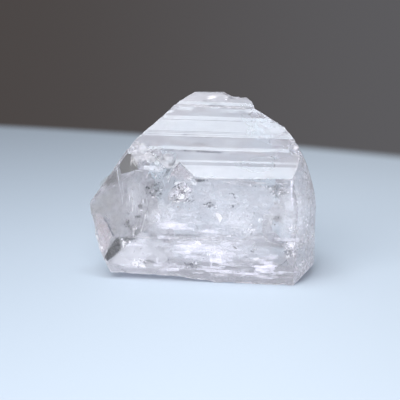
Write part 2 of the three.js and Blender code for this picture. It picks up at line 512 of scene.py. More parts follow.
def layered_noise(points: Array, seed: int, octaves: int = 3, gain: float = 0.5) -> Array:
    """Several sizes of smooth noise added up.

    Args:
        points: Points, one a row.
        seed: Chooses the pattern.
        octaves: How many sizes.
        gain: How much weaker each finer size is.

    Returns:
        One value for each point.
    """
    total = np.zeros(len(points))
    for octave in range(octaves):
        total += gain**octave * smooth_noise(points * 2.03**octave + 17.0 * octave, seed + octave)
    return total


class SurfaceCutter:
    """Cuts a solid's flat faces into small, even triangles that keep every edge where it was."""

    def __init__(self, corners: Array, triangles: Array, grain: float) -> None:
        """Keeps the solid and works out its normals.

        Args:
            corners: The solid's corners, in millimetres.
            triangles: Three corner numbers a row.
            grain: The wished edge length, in millimetres.
        """
        self.corners = corners
        self.triangles = triangles
        self.grain = grain
        self.normals, self.areas = face_frames(corners, triangles)
        self.random = np.random.default_rng(Pattern.LATTICE)

    def flat_groups(self, limit_degrees: float = 0.12) -> Array:
        """Numbers the flat faces.

        Args:
            limit_degrees: Neighbouring triangles within this angle share a face.

        Returns:
            The face number of each triangle.
        """
        parent = list(range(len(self.triangles)))

        def root(item: int) -> int:
            """Finds the first member of a group.

            Args:
                item: Any member.

            Returns:
                The first member.
            """
            while parent[item] != item:
                parent[item] = parent[parent[item]]
                item = parent[item]
            return item

        limit = math.cos(math.radians(limit_degrees))
        for first, second in self.edge_faces().values():
            if self.normals[first] @ self.normals[second] > limit:
                parent[root(first)] = root(second)
        return np.unique([root(k) for k in range(len(parent))], return_inverse=True)[1]

    def edge_faces(self) -> Dict[Tuple[int, int], List[int]]:
        """Finds the triangles on each edge.

        Returns:
            For each pair of corners, low number first, the triangles that meet there.
        """
        found: Dict[Tuple[int, int], List[int]] = {}
        for number, triangle in enumerate(self.triangles):
            for k in range(3):
                edge = tuple(sorted((int(triangle[k]), int(triangle[(k + 1) % 3]))))
                found.setdefault(edge, []).append(number)
        return found

    def cut(self) -> Tuple[Array, Array, Array]:
        """Cuts every flat face.

        Returns:
            The points, the triangles, and the number of the flat face that each triangle lies on.
        """
        groups = self.flat_groups()
        points = [Vector(corner) for corner in self.corners]
        rims: Dict[int, List[Tuple[int, int]]] = {}
        for (low, high), faces in self.edge_faces().items():
            owners = {int(groups[face]) for face in faces}
            if len(owners) < 2:
                continue
            chain = [low, *self._split(points, low, high), high]
            for owner in owners:
                rims.setdefault(owner, []).extend(zip(chain[:-1], chain[1:]))
        triangles, faces_of = [], []
        for group in range(int(groups.max()) + 1):
            members = np.flatnonzero(groups == group)
            made = self._fill(points, members, rims[group])
            triangles.append(made)
            faces_of.append(np.full(len(made), group))
        return np.array([tuple(p) for p in points]), np.vstack(triangles), np.concatenate(faces_of)

    def _split(self, points: List[Vector], low: int, high: int) -> List[int]:
        """Adds evenly spaced points on an edge.

        Args:
            points: All points so far; the new ones are added to it.
            low: The number of one end.
            high: The number of the other.

        Returns:
            The new points' numbers.
        """
        start, end = points[low], points[high]
        count = max(1, round((end - start).length / self.grain))
        first = len(points)
        points.extend(start.lerp(end, k / count) for k in range(1, count))
        return list(range(first, len(points)))

    def _fill(self, points: List[Vector], members: Array, rim: List[Tuple[int, int]]) -> Array:
        """Fills one flat face with even triangles.

        Args:
            points: All points so far; inner points are added to it.
            members: The solid's triangles that make up the face.
            rim: The short edges round the face and round its holes.

        Returns:
            The face's triangles.
        """
        largest = members[np.argmax(self.areas[members])]
        normal = self.normals[largest]
        side = np.cross(normal, (0.0, 0.0, 1.0) if abs(normal[2]) < 0.9 else (1.0, 0.0, 0.0))
        side /= np.linalg.norm(side)
        over = np.cross(normal, side)
        origin = self.corners[self.triangles[largest, 0]]
        flat = np.stack([(self.corners - origin) @ side, (self.corners - origin) @ over], axis=1)
        shapes = flat[self.triangles[members]]

        ids = sorted({index for edge in rim for index in edge})
        local = {index: k for k, index in enumerate(ids)}
        rim_points = np.array([tuple(points[index]) for index in ids])
        rim_flat = np.stack([(rim_points - origin) @ side, (rim_points - origin) @ over], axis=1)
        inner = self._inner_points(shapes, rim_flat)
        base = len(points)
        points.extend(Vector(origin + u * side + v * over) for u, v in inner)
        ids.extend(range(base, base + len(inner)))

        flat_all = np.vstack([rim_flat, inner])
        edges = [(local[p], local[q]) for p, q in rim]
        places = [Vector(p) for p in flat_all.tolist()]
        _, _, faces, originals, _, _ = delaunay_2d_cdt(places, edges, [], 1, 1e-7)
        made = np.array([[originals[k][0] for k in face] for face in faces])
        a, b, c = (flat_all[made[:, k]] for k in range(3))
        kept = self._inside((a + b + c) / 3, shapes)
        turned = (b[:, 0] - a[:, 0]) * (c[:, 1] - a[:, 1]) - (b[:, 1] - a[:, 1]) * (c[:, 0] - a[:, 0]) < 0
        made[turned] = made[turned][:, ::-1]
        return np.array(ids)[made[kept]]

    def _inner_points(self, shapes: Array, rim: Array) -> Array:
        """A slightly shaken triangular lattice inside a flat face, clear of its rim.

        Args:
            shapes: The face's own triangles, flattened.
            rim: The points round it, flattened.

        Returns:
            The lattice's points, flattened.
        """
        low, high = shapes.min(axis=(0, 1)), shapes.max(axis=(0, 1))
        row = self.grain * math.sqrt(3) / 2
        rows = np.arange(low[1] + row / 2, high[1], row)
        columns = np.arange(low[0], high[0] + self.grain, self.grain)
        if not len(rows) or not len(columns):
            return np.empty((0, 2))
        u, v = np.meshgrid(columns, rows)
        u = u + (np.arange(len(rows)) % 2)[:, None] * self.grain / 2
        lattice = np.stack([u.ravel(), v.ravel()], axis=1)
        lattice += self.random.uniform(-0.12, 0.12, lattice.shape) * self.grain
        lattice = lattice[self._inside(lattice, shapes)]
        kept = []
        for chunk in np.array_split(lattice, max(1, len(lattice) // 2000)):
            if len(chunk):
                gap = np.linalg.norm(chunk[:, None] - rim[None], axis=2).min(axis=1)
                kept.append(chunk[gap > 0.55 * self.grain])
        return np.vstack(kept) if kept else np.empty((0, 2))

    @staticmethod
    def _inside(places: Array, shapes: Array) -> Array:
        """Tells whether flat places lie in any of some triangles.

        Args:
            places: The places, one a row.
            shapes: The triangles.

        Returns:
            One answer for each place.
        """
        found = np.zeros(len(places), bool)
        for a, b, c in shapes:
            sides = []
            for p, q in ((a, b), (b, c), (c, a)):
                sides.append((q[0] - p[0]) * (places[:, 1] - p[1]) - (q[1] - p[1]) * (places[:, 0] - p[0]))
            sides = np.array(sides)
            found |= (sides > -1e-9).all(axis=0) | (sides < 1e-9).all(axis=0)
        return found


def face_frames(points: Array, triangles: Array) -> Tuple[Array, Array]:
    """Works out which way triangles face, and how large they are.

    Args:
        points: Corner points.
        triangles: Three point numbers a row.

    Returns:
        Each triangle's outward normal, and its area.
    """
    a, b, c = (points[triangles[:, k]] for k in range(3))
    cross = np.cross(b - a, c - a)
    areas = np.linalg.norm(cross, axis=1) / 2
    return cross / np.maximum(2 * areas, 1e-12)[:, None], areas


def point_sums(triangles: Array, values: Array, count: int) -> Array:
    """Adds up, at each point, what the triangles round it hold.

    Args:
        triangles: Three point numbers a row.
        values: One value, or one row of values, for each triangle.
        count: How many points there are.

    Returns:
        One sum for each point.
    """
    total = np.zeros((count, *values.shape[1:]))
    for k in range(3):
        np.add.at(total, triangles[:, k], values)
    return total


def edge_ends(triangles: Array) -> Array:
    """The two points of every side of every triangle, the lower number first."""
    return np.sort(np.stack([triangles, np.roll(triangles, -1, 1)], -1).reshape(-1, 2), 1)


def shared_edges(triangles: Array) -> Tuple[Array, Array, Array]:
    """Finds the edges that two triangles share.

    Args:
        triangles: Three point numbers a row, of a closed surface.

    Returns:
        Each edge's two points, and the triangle on either side of it.
    """
    edges = edge_ends(triangles)
    owners = np.repeat(np.arange(len(triangles)), 3)
    order = np.lexsort((edges[:, 1], edges[:, 0]))
    first, second = order[0::2], order[1::2]
    return edges[first], owners[first], owners[second]


def keep_crisp(mesh: bpy.types.Mesh, crisp: Array) -> None:
    """Marks edges as sharp, so that the light breaks there.

    Args:
        mesh: The mesh, whose sharp edges are already marked by their angle.
        crisp: The two points of each further edge.
    """
    ends = np.empty(2 * len(mesh.edges), np.int64)
    mesh.edges.foreach_get("vertices", ends)
    ends = np.sort(ends.reshape(-1, 2), axis=1)
    layer = mesh.attributes["sharp_edge"]
    sharp = np.empty(len(ends), bool)
    layer.data.foreach_get("value", sharp)
    row = (len(mesh.vertices), 1)
    sharp |= np.isin(ends @ row, np.sort(crisp, axis=1) @ row)
    layer.data.foreach_set("value", sharp)


def mesh_object(
    name: str,
    points: Array,
    triangles: Array,
    attributes: Optional[Dict[str, Array]] = None,
    sharp_degrees: Optional[float] = None,
    crisp: Optional[Array] = None,
) -> bpy.types.Object:
    """Makes an object from points in millimetres.

    Args:
        name: The piece's name.
        points: Corner points, in millimetres.
        triangles: Three point numbers a row.
        attributes: One value for each point, by attribute name.
        sharp_degrees: Edges sharper than this stay crisp; the rest is shaded smooth.
        crisp: The pairs of points whose edges stay crisp whatever their angle.

    Returns:
        The object, linked to the scene.
    """
    mesh = bpy.data.meshes.new(name)
    mesh.from_pydata((points * MM).tolist(), [], triangles.tolist())
    mesh.update()
    if sharp_degrees is not None:
        mesh.shade_smooth()
        mesh.set_sharp_from_angle(angle=math.radians(sharp_degrees))
    if crisp is not None:
        keep_crisp(mesh, crisp)
    for key, values in (attributes or {}).items():
        layer = mesh.attributes.new(key, "FLOAT", "POINT")
        layer.data.foreach_set("value", np.asarray(values, np.float32))
    piece = bpy.data.objects.new(name, mesh)
    bpy.context.scene.collection.objects.link(piece)
    return piece


def disc_triangles(rings: int, sectors: int) -> Array:
    """Fills a disc whose points run outwards from the middle, ring by ring.

    Args:
        rings: How many rings of points lie round the middle.
        sectors: How many points each ring has.

    Returns:
        Three point numbers a row.
    """
    triangles = []
    for sector in range(sectors):
        after = (sector + 1) % sectors
        triangles.append((0, 1 + sector, 1 + after))
        for inner in range(1, 1 + (rings - 1) * sectors, sectors):
            outer = inner + sectors
            triangles.append((inner + sector, outer + sector, outer + after))
            triangles.append((inner + sector, outer + after, inner + after))
    return np.array(triangles)


# ------------------------------------------------------------------------------------ the crystal


class PackedSolid:
    """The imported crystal, in millimetres, with the questions that other classes ask of it."""

    def __init__(self) -> None:
        """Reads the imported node's mesh."""
        source = bmesh.new()
        source.from_mesh(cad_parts[CRYSTAL_NODE].data)
        bmesh.ops.remove_doubles(source, verts=source.verts, dist=1e-7)
        source.verts.index_update()
        self.corners = np.array([v.co[:] for v in source.verts]) / MM
        self.triangles = np.array([[v.index for v in f.verts] for f in source.faces])
        source.free()
        self.tree = BVHTree.FromPolygons([tuple(c) for c in self.corners], self.triangles.tolist())

    def under_face(self, x: float, z: float, depth: float) -> Triple:
        """A place a little way behind the surface that faces the front.

        Args:
            x: The place's x.
            z: Its height.
            depth: How far it lies behind the surface, in millimetres along Y.

        Returns:
            The place.
        """
        struck = self.tree.ray_cast(Vector((x, -60.0, z)), Vector((0.0, 1.0, 0.0)))[0]
        return x, (struck.y if struck else 0.0) + depth, z

    def holds(self, point: Sequence[float], margin: float) -> bool:
        """Whether a point lies inside, at least `margin` millimetres from the surface."""
        nearest, outward, _, distance = self.tree.find_nearest(Vector(point))
        return distance > margin and (Vector(point) - nearest).dot(outward) < 0.0


@dataclass
class CrystalBody:
    """The crystal's outside: its flat faces, ledges and broken surfaces, with their fine relief."""

    grain: float = 0.21
    quick_grain: float = 0.45
    rounding: int = 14
    wave: float = 0.012
    terrace: float = 0.022
    ripple: float = 0.05
    rear_relief: float = 0.05
    ledge_relief: float = 0.004
    point_relief: float = 0.008
    nicks: int = 170
    crisp_degrees: float = 16.0
    nick_degrees: float = 24.0
    wear_degrees: float = 30.0
    chip_area: float = 3.0
    chip_slant: float = 0.04
    break_slant: float = 0.12
    along_slant: float = 0.08

    def build(self, solid: PackedSolid) -> bpy.types.Object:
        """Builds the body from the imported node.

        Args:
            solid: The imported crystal.

        Returns:
            The finished piece.
        """
        grain = self.grain
        cutter = SurfaceCutter(solid.corners, solid.triangles, grain)
        points, triangles, faces = cutter.cut()
        zones = self._zones(points, triangles, faces)
        points = self._smooth_breaks(points, triangles, zones[Surface.BROKEN])
        normals, areas = face_frames(points, triangles)
        outward = point_sums(triangles, normals * areas[:, None], len(points))
        outward /= np.maximum(np.linalg.norm(outward, axis=1), 1e-12)[:, None]
        points = points - outward * self._relief(points, triangles, zones)[:, None]
        points[:, 2] = np.maximum(points[:, 2], 0.0)
        marks = self._marks(points, triangles, zones)
        crisp = self._borders(triangles, faces, zones[Surface.LEDGES])
        piece = mesh_object("crystal_body", points, triangles, marks, self.crisp_degrees, crisp)
        piece.data.materials.append(ClearCrystal().material())
        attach(piece, BODY)
        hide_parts(CRYSTAL_NODE)
        return piece

    def _marks(self, points: Array, triangles: Array, zones: Dict[Surface, Array]) -> Dict[str, Array]:
        """Works out how the finish varies over the surface.

        Args:
            points: The surface's points, with their relief.
            triangles: Its triangles.
            zones: How much each point belongs to each kind of surface.

        Returns:
            The marks that the clear finish reads, from 0 to 1 at each point.
        """
        x, _, z = points.T
        broken, front, ledges = (zones[kind] for kind in (Surface.BROKEN, Surface.FRONT, Surface.LEDGES))
        dull = np.clip((x + 14.0) / 9.0, 0.35, 1.0)
        dull *= 1.0 - 0.9 * np.clip((z - 12.5) / 2.0, 0, 1) * np.clip((-x - 6.0) / 3.0, 0, 1)
        crushed = 0.45 * broken * (x < -4.0) * (z > 14.5)
        scuffed = broken * 0.22 + zones[Surface.UNDER] * 0.8 + crushed + self._edge_wear(points, triangles)
        misty = 0.15 + 0.06 * np.clip((6.0 - z) / 4.0, 0, 1)
        soft = 1.0 + 0.5 * layered_noise(points * (0.12, 0.3, 0.3), Pattern.HAZE, 3)
        film = (misty * front + 0.3 * ledges + 0.2 * zones[Surface.CREST]) * soft
        film = film + 0.13 * zones[Surface.POINT] * np.clip((13.5 - z) / 2.5, 0, 1)
        marks = {
            "ledged": ledges + 0.5 * front * np.clip((8.0 - z) / 3.0, 0, 1),
            "worn": zones[Surface.REAR] * dull + broken * 0.22 + zones[Surface.UNDER],
            "frosted": zones[Surface.REAR] * 0.75 * dull + scuffed,
            "hazed": film + self._bruises(points, broken),
            # painted shade in the creases between ledges and on the crest
            "crease_shaded": self._crease_shade(points) * np.clip(ledges + zones[Surface.CREST], 0, 1),
        }
        return {name: np.clip(values, 0, 1) for name, values in marks.items()}

    @staticmethod
    def _bruises(points: Array, broken: Array) -> Array:
        """White bruises: one at the right end of the ledges, and more scattered over the broken end.

        Args:
            points: The surface's points.
            broken: How much each point belongs to a broken surface.

        Returns:
            How white each point is.
        """
        x, y, z = points.T
        speckle = layered_noise(points * (1.7, 1.7, 1.7), Pattern.BRUISES, 2)
        scattered = 0.5 * broken * np.clip((speckle - 0.32) * 4.0, 0, 1) * (x > 11.0)
        away = np.hypot((x - 13.3) / 0.4, (z - 18.9) / 0.25)
        return np.maximum(scattered, 0.7 * np.clip(1.2 - away + speckle, 0, 1)) * (y < 1.0)

    @staticmethod
    def _crease_shade(points: Array) -> Array:
        """Painted shade: dark lines in the corners between some ledges.

        Args:
            points: The surface's points.

        Returns:
            How much dirt each point holds.
        """
        place = points[:, [0, 2]]
        held = np.zeros(len(points))
        for start, end, reach in (
            ((-6.2, 18.42), (3.4, 18.21), 0.13),
            ((-0.9, 24.68), (2.0, 24.64), 0.1),
            ((0.0, 24.12), (3.0, 24.06), 0.1),
            ((-3.2, 20.4), (-2.0, 20.4), 0.1),
            ((2.6, 25.2), (4.2, 24.9), 0.1),
        ):
            run = np.subtract(end, start)
            length = math.hypot(*run)
            along = (place - start) @ run / length
            aside = np.abs((place - start) @ (-run[1], run[0])) / length
            ends = np.clip(along * 1.5, 0, 1) * np.clip((length - along) * 1.2, 0, 1)
            held = np.maximum(held, np.clip(1.2 - aside / reach, 0, 1) * ends)
        return held * np.clip(0.7 + 0.9 * layered_noise(points * (0.9, 2.0, 2.0), Pattern.CREASE_SHADE, 2), 0, 0.9)

    def _zones(self, points: Array, triangles: Array, faces: Array) -> Dict[Surface, Array]:
        """Tells the crystal's kinds of surface apart.

        Args:
            points: The surface's points.
            triangles: Its triangles.
            faces: The flat face that each triangle lies on.

        Returns:
            For each kind, how much each point belongs to it, from 0 to 1.
        """
        normals, areas = face_frames(points, triangles)
        whole = np.bincount(faces, areas)[faces]
        x, y, z = normals.T
        chipped = (whole < self.chip_area) & (np.abs(x) > self.chip_slant) & (z > -0.5)
        broken = (x > self.break_slant) | chipped
        along = (np.abs(x) < self.along_slant) & ~broken
        kinds = {
            Surface.BROKEN: broken,
            Surface.UNDER: z < -0.45,
            Surface.LEDGES: along & (z > 0.3) & (y < -0.15),
            Surface.FRONT: along & (y < -0.9),
            Surface.CREST: along & (z > 0.85),
            Surface.REAR: (y > 0.25) & (z > -0.6) & ~broken,
            Surface.POINT: (x < -0.1) & (y < 0.2) & ~chipped,
        }
        count = len(points)
        near = np.maximum(point_sums(triangles, np.ones(len(triangles)), count), 1.0)
        return {kind: point_sums(triangles, mask.astype(float), count) / near for kind, mask in kinds.items()}

    @staticmethod
    def _borders(triangles: Array, faces: Array, ledges: Array) -> Array:
        """Finds the short edges between two flat ledges.

        Args:
            triangles: The surface's triangles.
            faces: The flat face that each triangle lies on.
            ledges: How much each point belongs to a ledge.

        Returns:
            Each edge's two points.
        """
        edges, one, other = shared_edges(triangles)
        pairs = edges[faces[one] != faces[other]]
        return pairs[(ledges[pairs] > 0.3).all(axis=1)]

    def _smooth_breaks(self, points: Array, triangles: Array, broken: Array) -> Array:
        """Rounds the facets of the broken surfaces, and leaves everything else alone.

        Args:
            points: The surface's points.
            triangles: Its triangles.
            broken: How much each point belongs to a broken surface.

        Returns:
            The moved points.
        """
        edges = np.unique(edge_ends(triangles), axis=0)
        share = np.where(broken > 0.99, 0.5, 0.0)[:, None]
        count = np.bincount(edges.ravel(), minlength=len(points))[:, None]
        for _ in range(self.rounding):
            total = np.zeros_like(points)
            np.add.at(total, edges[:, 0], points[edges[:, 1]])
            np.add.at(total, edges[:, 1], points[edges[:, 0]])
            points = points + share * (total / count - points)
        return points

    def _relief(self, points: Array, triangles: Array, zones: Dict[Surface, Array]) -> Array:
        """Works out the fine relief: waves and low steps on the front, shells in the breaks, nicked edges.

        Args:
            points: The surface's points.
            triangles: Its triangles.
            zones: How much each point belongs to each kind of surface.

        Returns:
            How far each point sinks in, in millimetres.
        """
        long_waves = layered_noise(points * (0.16, 0.5, 0.5), Pattern.LONG_WAVES, 3)
        layer = layered_noise(points * (0.11, 0.3, 0.42) + 5.0, Pattern.LAYERS, 3) * 2.6
        step = layer - np.floor(layer)
        stepped = self.terrace * (0.1 + 0.9 * np.clip((9.0 - points[:, 2]) / 3.0, 0, 1))
        shell = np.abs(layered_noise(points * 0.35, Pattern.SHELLS, 4, 0.55))
        rough = layered_noise(points * 1.4, Pattern.ROUGHNESS, 3, 0.6)
        grooves = 1.3 + layered_noise(points * (0.12, 1.1, 1.1), Pattern.GROOVES, 3)
        bends = 1.3 + layered_noise(points * 0.45, Pattern.POINT_WAVES, 3)
        sunk = zones[Surface.FRONT] * self.wave * (1.0 + long_waves)
        sunk += zones[Surface.FRONT] * stepped * (np.floor(layer) * 0.5 + 1.5 + 0.5 * np.clip(step * 4, 0, 1))
        sunk += zones[Surface.BROKEN] * self.ripple * (1.2 * shell + 0.5 * (1.0 + rough))
        grooved = zones[Surface.REAR] * self.rear_relief * grooves
        sunk += grooved + zones[Surface.LEDGES] * self.ledge_relief * grooves
        sunk += zones[Surface.POINT] * self.point_relief * bends
        return np.maximum(sunk, 0.0) + self._nicked(points, triangles)

    @staticmethod
    def _sharp_edges(points: Array, triangles: Array, least: float) -> Array:
        """Finds the sharp edges.

        Args:
            points: The surface's points.
            triangles: Its triangles.
            least: How far a sharp edge turns, in degrees.

        Returns:
            Each sharp edge's two points.
        """
        normals, _ = face_frames(points, triangles)
        edges, one, other = shared_edges(triangles)
        turn = (normals[one] * normals[other]).sum(axis=1)
        return edges[turn < math.cos(math.radians(least))]

    def _edge_wear(self, points: Array, triangles: Array) -> Array:
        """Works out how scuffed each point is, from lying on a sharp edge.

        Args:
            points: The surface's points.
            triangles: Its triangles.

        Returns:
            One value from 0 to 1 for each point.
        """
        worn = np.zeros(len(points))
        worn[self._sharp_edges(points, triangles, self.wear_degrees).ravel()] = 1.0
        patchy = np.clip(layered_noise(points * 0.8, Pattern.WEAR, 3) * 1.4 + 0.25, 0, 1)
        x, y, z = points.T
        faded = (x > 11.5) & (y < -7.0) & (z < 11.5) & (z > 0.6)
        return 0.8 * worn * patchy * np.where(faded, 0.15, 1.0)

    def _nicked(self, points: Array, triangles: Array) -> Array:
        """Takes small bites out of the sharp edges.

        Args:
            points: The surface's points.
            triangles: Its triangles.

        Returns:
            How deep the bites are at each point, in millimetres.
        """
        sharp = self._sharp_edges(points, triangles, self.nick_degrees)
        random = np.random.default_rng(Pattern.NICKS)
        sunk = np.zeros(len(points))
        for _ in range(self.nicks):
            middle = points[sharp[random.integers(len(sharp)), 0]]
            reach = random.uniform(0.25, 0.85) * random.uniform(0.5, 1.0)
            spared = middle[1] < -9.0 and middle[2] > 14.0
            depth = reach * random.uniform(0.1, 0.28) * (0.3 if spared else 1.0)
            stretch = random.uniform((0.4, 0.8, 0.8), (1.0, 1.3, 1.3))
            away = np.linalg.norm((points - middle) * stretch, axis=1)
            sunk = np.maximum(sunk, depth * np.clip(1.0 - (away / reach) ** 2, 0, 1))
        return sunk


# ------------------------------------------------------------------------------- inside the crystal


@dataclass(frozen=True)
class Swarm:
    """A swarm of small flaws.

    Its middle, its reach along each axis, how many there are, their smallest and largest size, the
    way they face, and how far that direction strays. With a depth, each one lies that far behind
    the surface seen from the front, whatever the middle's y.
    """

    middle: Triple
    reach: Triple
    count: int
    size: Pair
    facing: Triple = (0.0, -0.8, 0.6)
    stray: float = 0.45
    depth: Optional[float] = None


@dataclass(frozen=True)
class Splinters:
    """A shattered patch just under a face.

    Its middle and its reach in x and z, the gap from one splinter to the next, the shares of bright
    and of dark ones, and how far behind the face they lie.
    """

    middle: Pair
    reach: Pair
    pitch: float
    bright: float
    dark: float
    depth: float = 0.3


@dataclass(frozen=True)
class Panel:
    """A flat, sharp-edged patch under a face: its outline in x and z, its depth, and how dense it is."""

    outline: Tuple[Pair, ...]
    depth: float
    cover: float


@dataclass(frozen=True)
class Veil:
    """One milky sheet: its middle, half-length and half-width, facing, long direction, and milkiness."""

    middle: Triple
    half: Pair
    facing: Triple
    sideways: Triple
    curl: float
    cover: float


class FlawMaker:
    """Gathers many small closed shapes into one mesh."""

    def __init__(self, solid: PackedSolid, seed: int) -> None:
        """Starts with nothing.

        Args:
            solid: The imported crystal.
            seed: Chooses the scatter.
        """
        self.solid = solid
        self.random = np.random.default_rng(seed)
        self.points: List[Array] = []
        self.triangles: List[Array] = []
        self.cover: List[Array] = []
        self.count = 0

    def add(self, points: Array, triangles: Array, cover: Optional[Array] = None) -> None:
        """Adds one closed shape.

        Args:
            points: Its points.
            triangles: Three point numbers a row.
            cover: The cover mark of each point, or nothing for a full cover.
        """
        self.points.append(points)
        self.triangles.append(triangles + self.count)
        self.cover.append(np.ones(len(points)) if cover is None else cover)
        self.count += len(points)

    def axes(self, facing: Sequence[float], stray: float) -> Array:
        """Three axes at right angles, the last near `facing`.

        Args:
            facing: The direction that a flat flaw looks in.
            stray: How far it may stray, as a share of the direction's own length.

        Returns:
            The axes, one a row.
        """
        third = np.array(facing, float) + self.random.normal(0.0, stray, 3)
        third /= np.linalg.norm(third)
        first = np.cross(third, self.random.normal(0.0, 1.0, 3))
        first /= np.linalg.norm(first)
        return np.stack([first, np.cross(third, first), third])

    def _lens(self, outline: Array, half: float, axes: Array, middle: Array, cover: float = 1.0) -> None:
        """Adds a closed plate: an outline, with a peak on either side of its middle.

        Args:
            outline: The rim's points in the plate's own plane.
            half: How far each peak stands off that plane.
            axes: The plate's own axes, one a row.
            middle: Its place.
            cover: What its points' cover mark holds.
        """
        sides = len(outline)
        flat = np.hstack([outline, np.zeros((sides, 1))])
        local = np.vstack([flat, [[0, 0, half]], [[0, 0, -half]]])
        triangles = []
        for k in range(sides):
            after = (k + 1) % sides
            triangles.append((k, after, sides))
            triangles.append((after, k, sides + 1))
        self.add(local @ axes + middle, np.array(triangles), np.full(sides + 2, cover))

    def flake(
        self,
        middle: Array,
        size: float,
        facing: Sequence[float],
        stray: float,
        thickness: float = 0.06,
        sides: int = 6,
        narrow: float = 0.6,
        cover: float = 1.0,
    ) -> None:
        """Adds a thin, irregular flake.

        Args:
            middle: Its place.
            size: Its half-width.
            facing: The way it looks.
            stray: How far its direction may stray.
            thickness: Its thickness, as a share of its size.
            sides: How many corners its outline has.
            narrow: Its width as a share of its length.
            cover: What its points' cover mark holds.
        """
        turns = (self.random.uniform(0, 0.8, sides) + np.arange(sides)) * 2 * np.pi / sides
        reach = size * self.random.uniform(0.6, 1.1, sides)
        outline = np.stack([reach * np.cos(turns), narrow * reach * np.sin(turns)], axis=1)
        self._lens(outline, size * thickness / 2, self.axes(facing, stray), middle, cover)

    def shatter(self, patch: Splinters) -> None:
        """Adds sharp-cornered splinters side by side, some bright, some dark, with gaps between.

        Args:
            patch: Where they are and how they are mixed.
        """
        for place in itertools.product(*(np.arange(-reach, reach, patch.pitch) for reach in patch.reach)):
            shift = place + self.random.uniform(-0.4, 0.4, 2) * patch.pitch
            kind, rim = self.random.random(2)
            if np.linalg.norm(shift / patch.reach) > 0.65 + 0.45 * rim or kind > patch.bright + patch.dark:
                continue
            shade = self.random.uniform(0.8, 1.0) if kind < patch.bright else self.random.uniform(0.0, 0.16)
            size = patch.pitch * self.random.uniform(0.35, 0.85)
            depth = patch.depth * self.random.uniform(0.6, 1.4)
            point = self.solid.under_face(*(shift + patch.middle), depth)
            if self.solid.holds(point, 0.04):
                narrow = self.random.uniform(0.35, 0.9)
                self.flake(np.array(point), size, (0.0, -1.0, 0.1), 0.15, 0.08, 5, narrow, shade)

    def plate(self, middle: Array, half: Pair, facing: Sequence[float], cover: float) -> None:
        """Adds a thin plate, longer along X, with ragged short ends.

        Args:
            middle: Its place.
            half: Its half-length along X and its half-height.
            facing: The way it looks.
            cover: How milky it is.
        """
        third = np.array(facing, float) / np.linalg.norm(facing)
        first = np.array((1.0, 0.0, 0.0)) - third * third[0]
        first /= np.linalg.norm(first)
        jag = self.random.uniform(0.75, 1.1, 8)
        corners = ((1, -1), (1, 0), (1, 1), (0.3, 1), (-1, 1), (-1, 0.2), (-1, -1), (-0.2, -1))
        outline = [(u * half[0] * j, v * half[1] * (0.8 + 0.2 * j)) for (u, v), j in zip(corners, jag)]
        axes = np.stack([first, np.cross(third, first), third])
        self._lens(np.array(outline), PLATE_HALF_THICKNESS, axes, middle, cover)

    def panel(self, panel: Panel) -> None:
        """Adds a patch that follows the face it lies under.

        Args:
            panel: What it is like.
        """
        rim = np.array(panel.outline)
        middle = rim.mean(axis=0)
        flat = np.vstack([middle, *(middle + (rim - middle) * share for share in (0.33, 0.67, 1.0))])
        near = np.array([self.solid.under_face(x, z, panel.depth) for x, z in flat])
        self._slab(near, near + (0.0, PANEL_THICKNESS, 0.0), len(rim), np.full(len(near), panel.cover))

    def _slab(self, near: Array, far: Array, sectors: int, cover: Array) -> None:
        """Joins two discs of points at their rim into one closed shape.

        Args:
            near: The first disc's points, from the middle outwards.
            far: The other disc's points; its rim is left out.
            sectors: How many points each ring has.
            cover: One disc's cover marks.
        """
        layer = len(near)
        top = disc_triangles((layer - 1) // sectors, sectors)
        keep = np.arange(2 * layer)
        keep[2 * layer - sectors:] = keep[layer - sectors:layer]
        both = keep[np.vstack([top, top[:, ::-1] + layer])]
        used, numbers = np.unique(both, return_inverse=True)
        self.add(np.vstack([near, far])[used], numbers.reshape(both.shape), np.tile(cover, 2)[used])

    def smudge(
        self, x: float, z: float, half: Pair, cover: float, depth: float = 0.8, lean: float = 0.0
    ) -> None:
        """Adds a soft-edged patch under a face.

        Args:
            x: Its middle's x.
            z: Its middle's height.
            half: Its half-length and half-width.
            cover: How dense its middle is.
            depth: How far it lies behind the face.
            lean: How far its long side rises, per millimetre.
        """
        middle = self.solid.under_face(x, z, depth)
        self.sheet(Veil(middle, half, (-0.1, -1.0, 0.1), (1.0, 0.0, lean), 0.05, cover), 5, 16)

    def thread(self, start: Pair, end: Pair, half: float, depth: float = 0.5) -> None:
        """Adds a fine straight line under a face.

        Args:
            start: Where it begins, in x and z.
            end: Where it ends.
            half: Its half-thickness.
            depth: How far it lies behind the face.
        """
        self.needle(self.solid.under_face(*start, depth), self.solid.under_face(*end, depth), half)

    def needle(self, start: Sequence[float], end: Sequence[float], half: float) -> None:
        """Adds a straight, hair-thin tube that tapers to both ends.

        Args:
            start: Where it begins.
            end: Where it ends.
            half: Its half-thickness.
        """
        start, end = np.array(start), np.array(end)
        run = end - start
        first = np.cross(run, (0.0, 1.0, 0.0))
        first /= np.linalg.norm(first)
        second = np.cross(run / np.linalg.norm(run), first)
        rings = [start[None], end[None]]
        for share, swell in ((0.2, 0.8), (0.5, 1.0), (0.8, 0.7)):
            turns = np.arange(5) * 2 * np.pi / 5
            around = np.outer(np.cos(turns), first) + np.outer(np.sin(turns), second)
            rings.append(start + run * share + around * half * swell)
        triangles = []
        for k in range(5):
            after = (k + 1) % 5
            triangles.append((0, 2 + after, 2 + k))
            triangles.append((1, 12 + k, 12 + after))
            for low in (2, 7):
                triangles.append((low + k, low + after, low + 5 + after))
                triangles.append((low + k, low + 5 + after, low + 5 + k))
        self.add(np.vstack(rings), np.array(triangles))

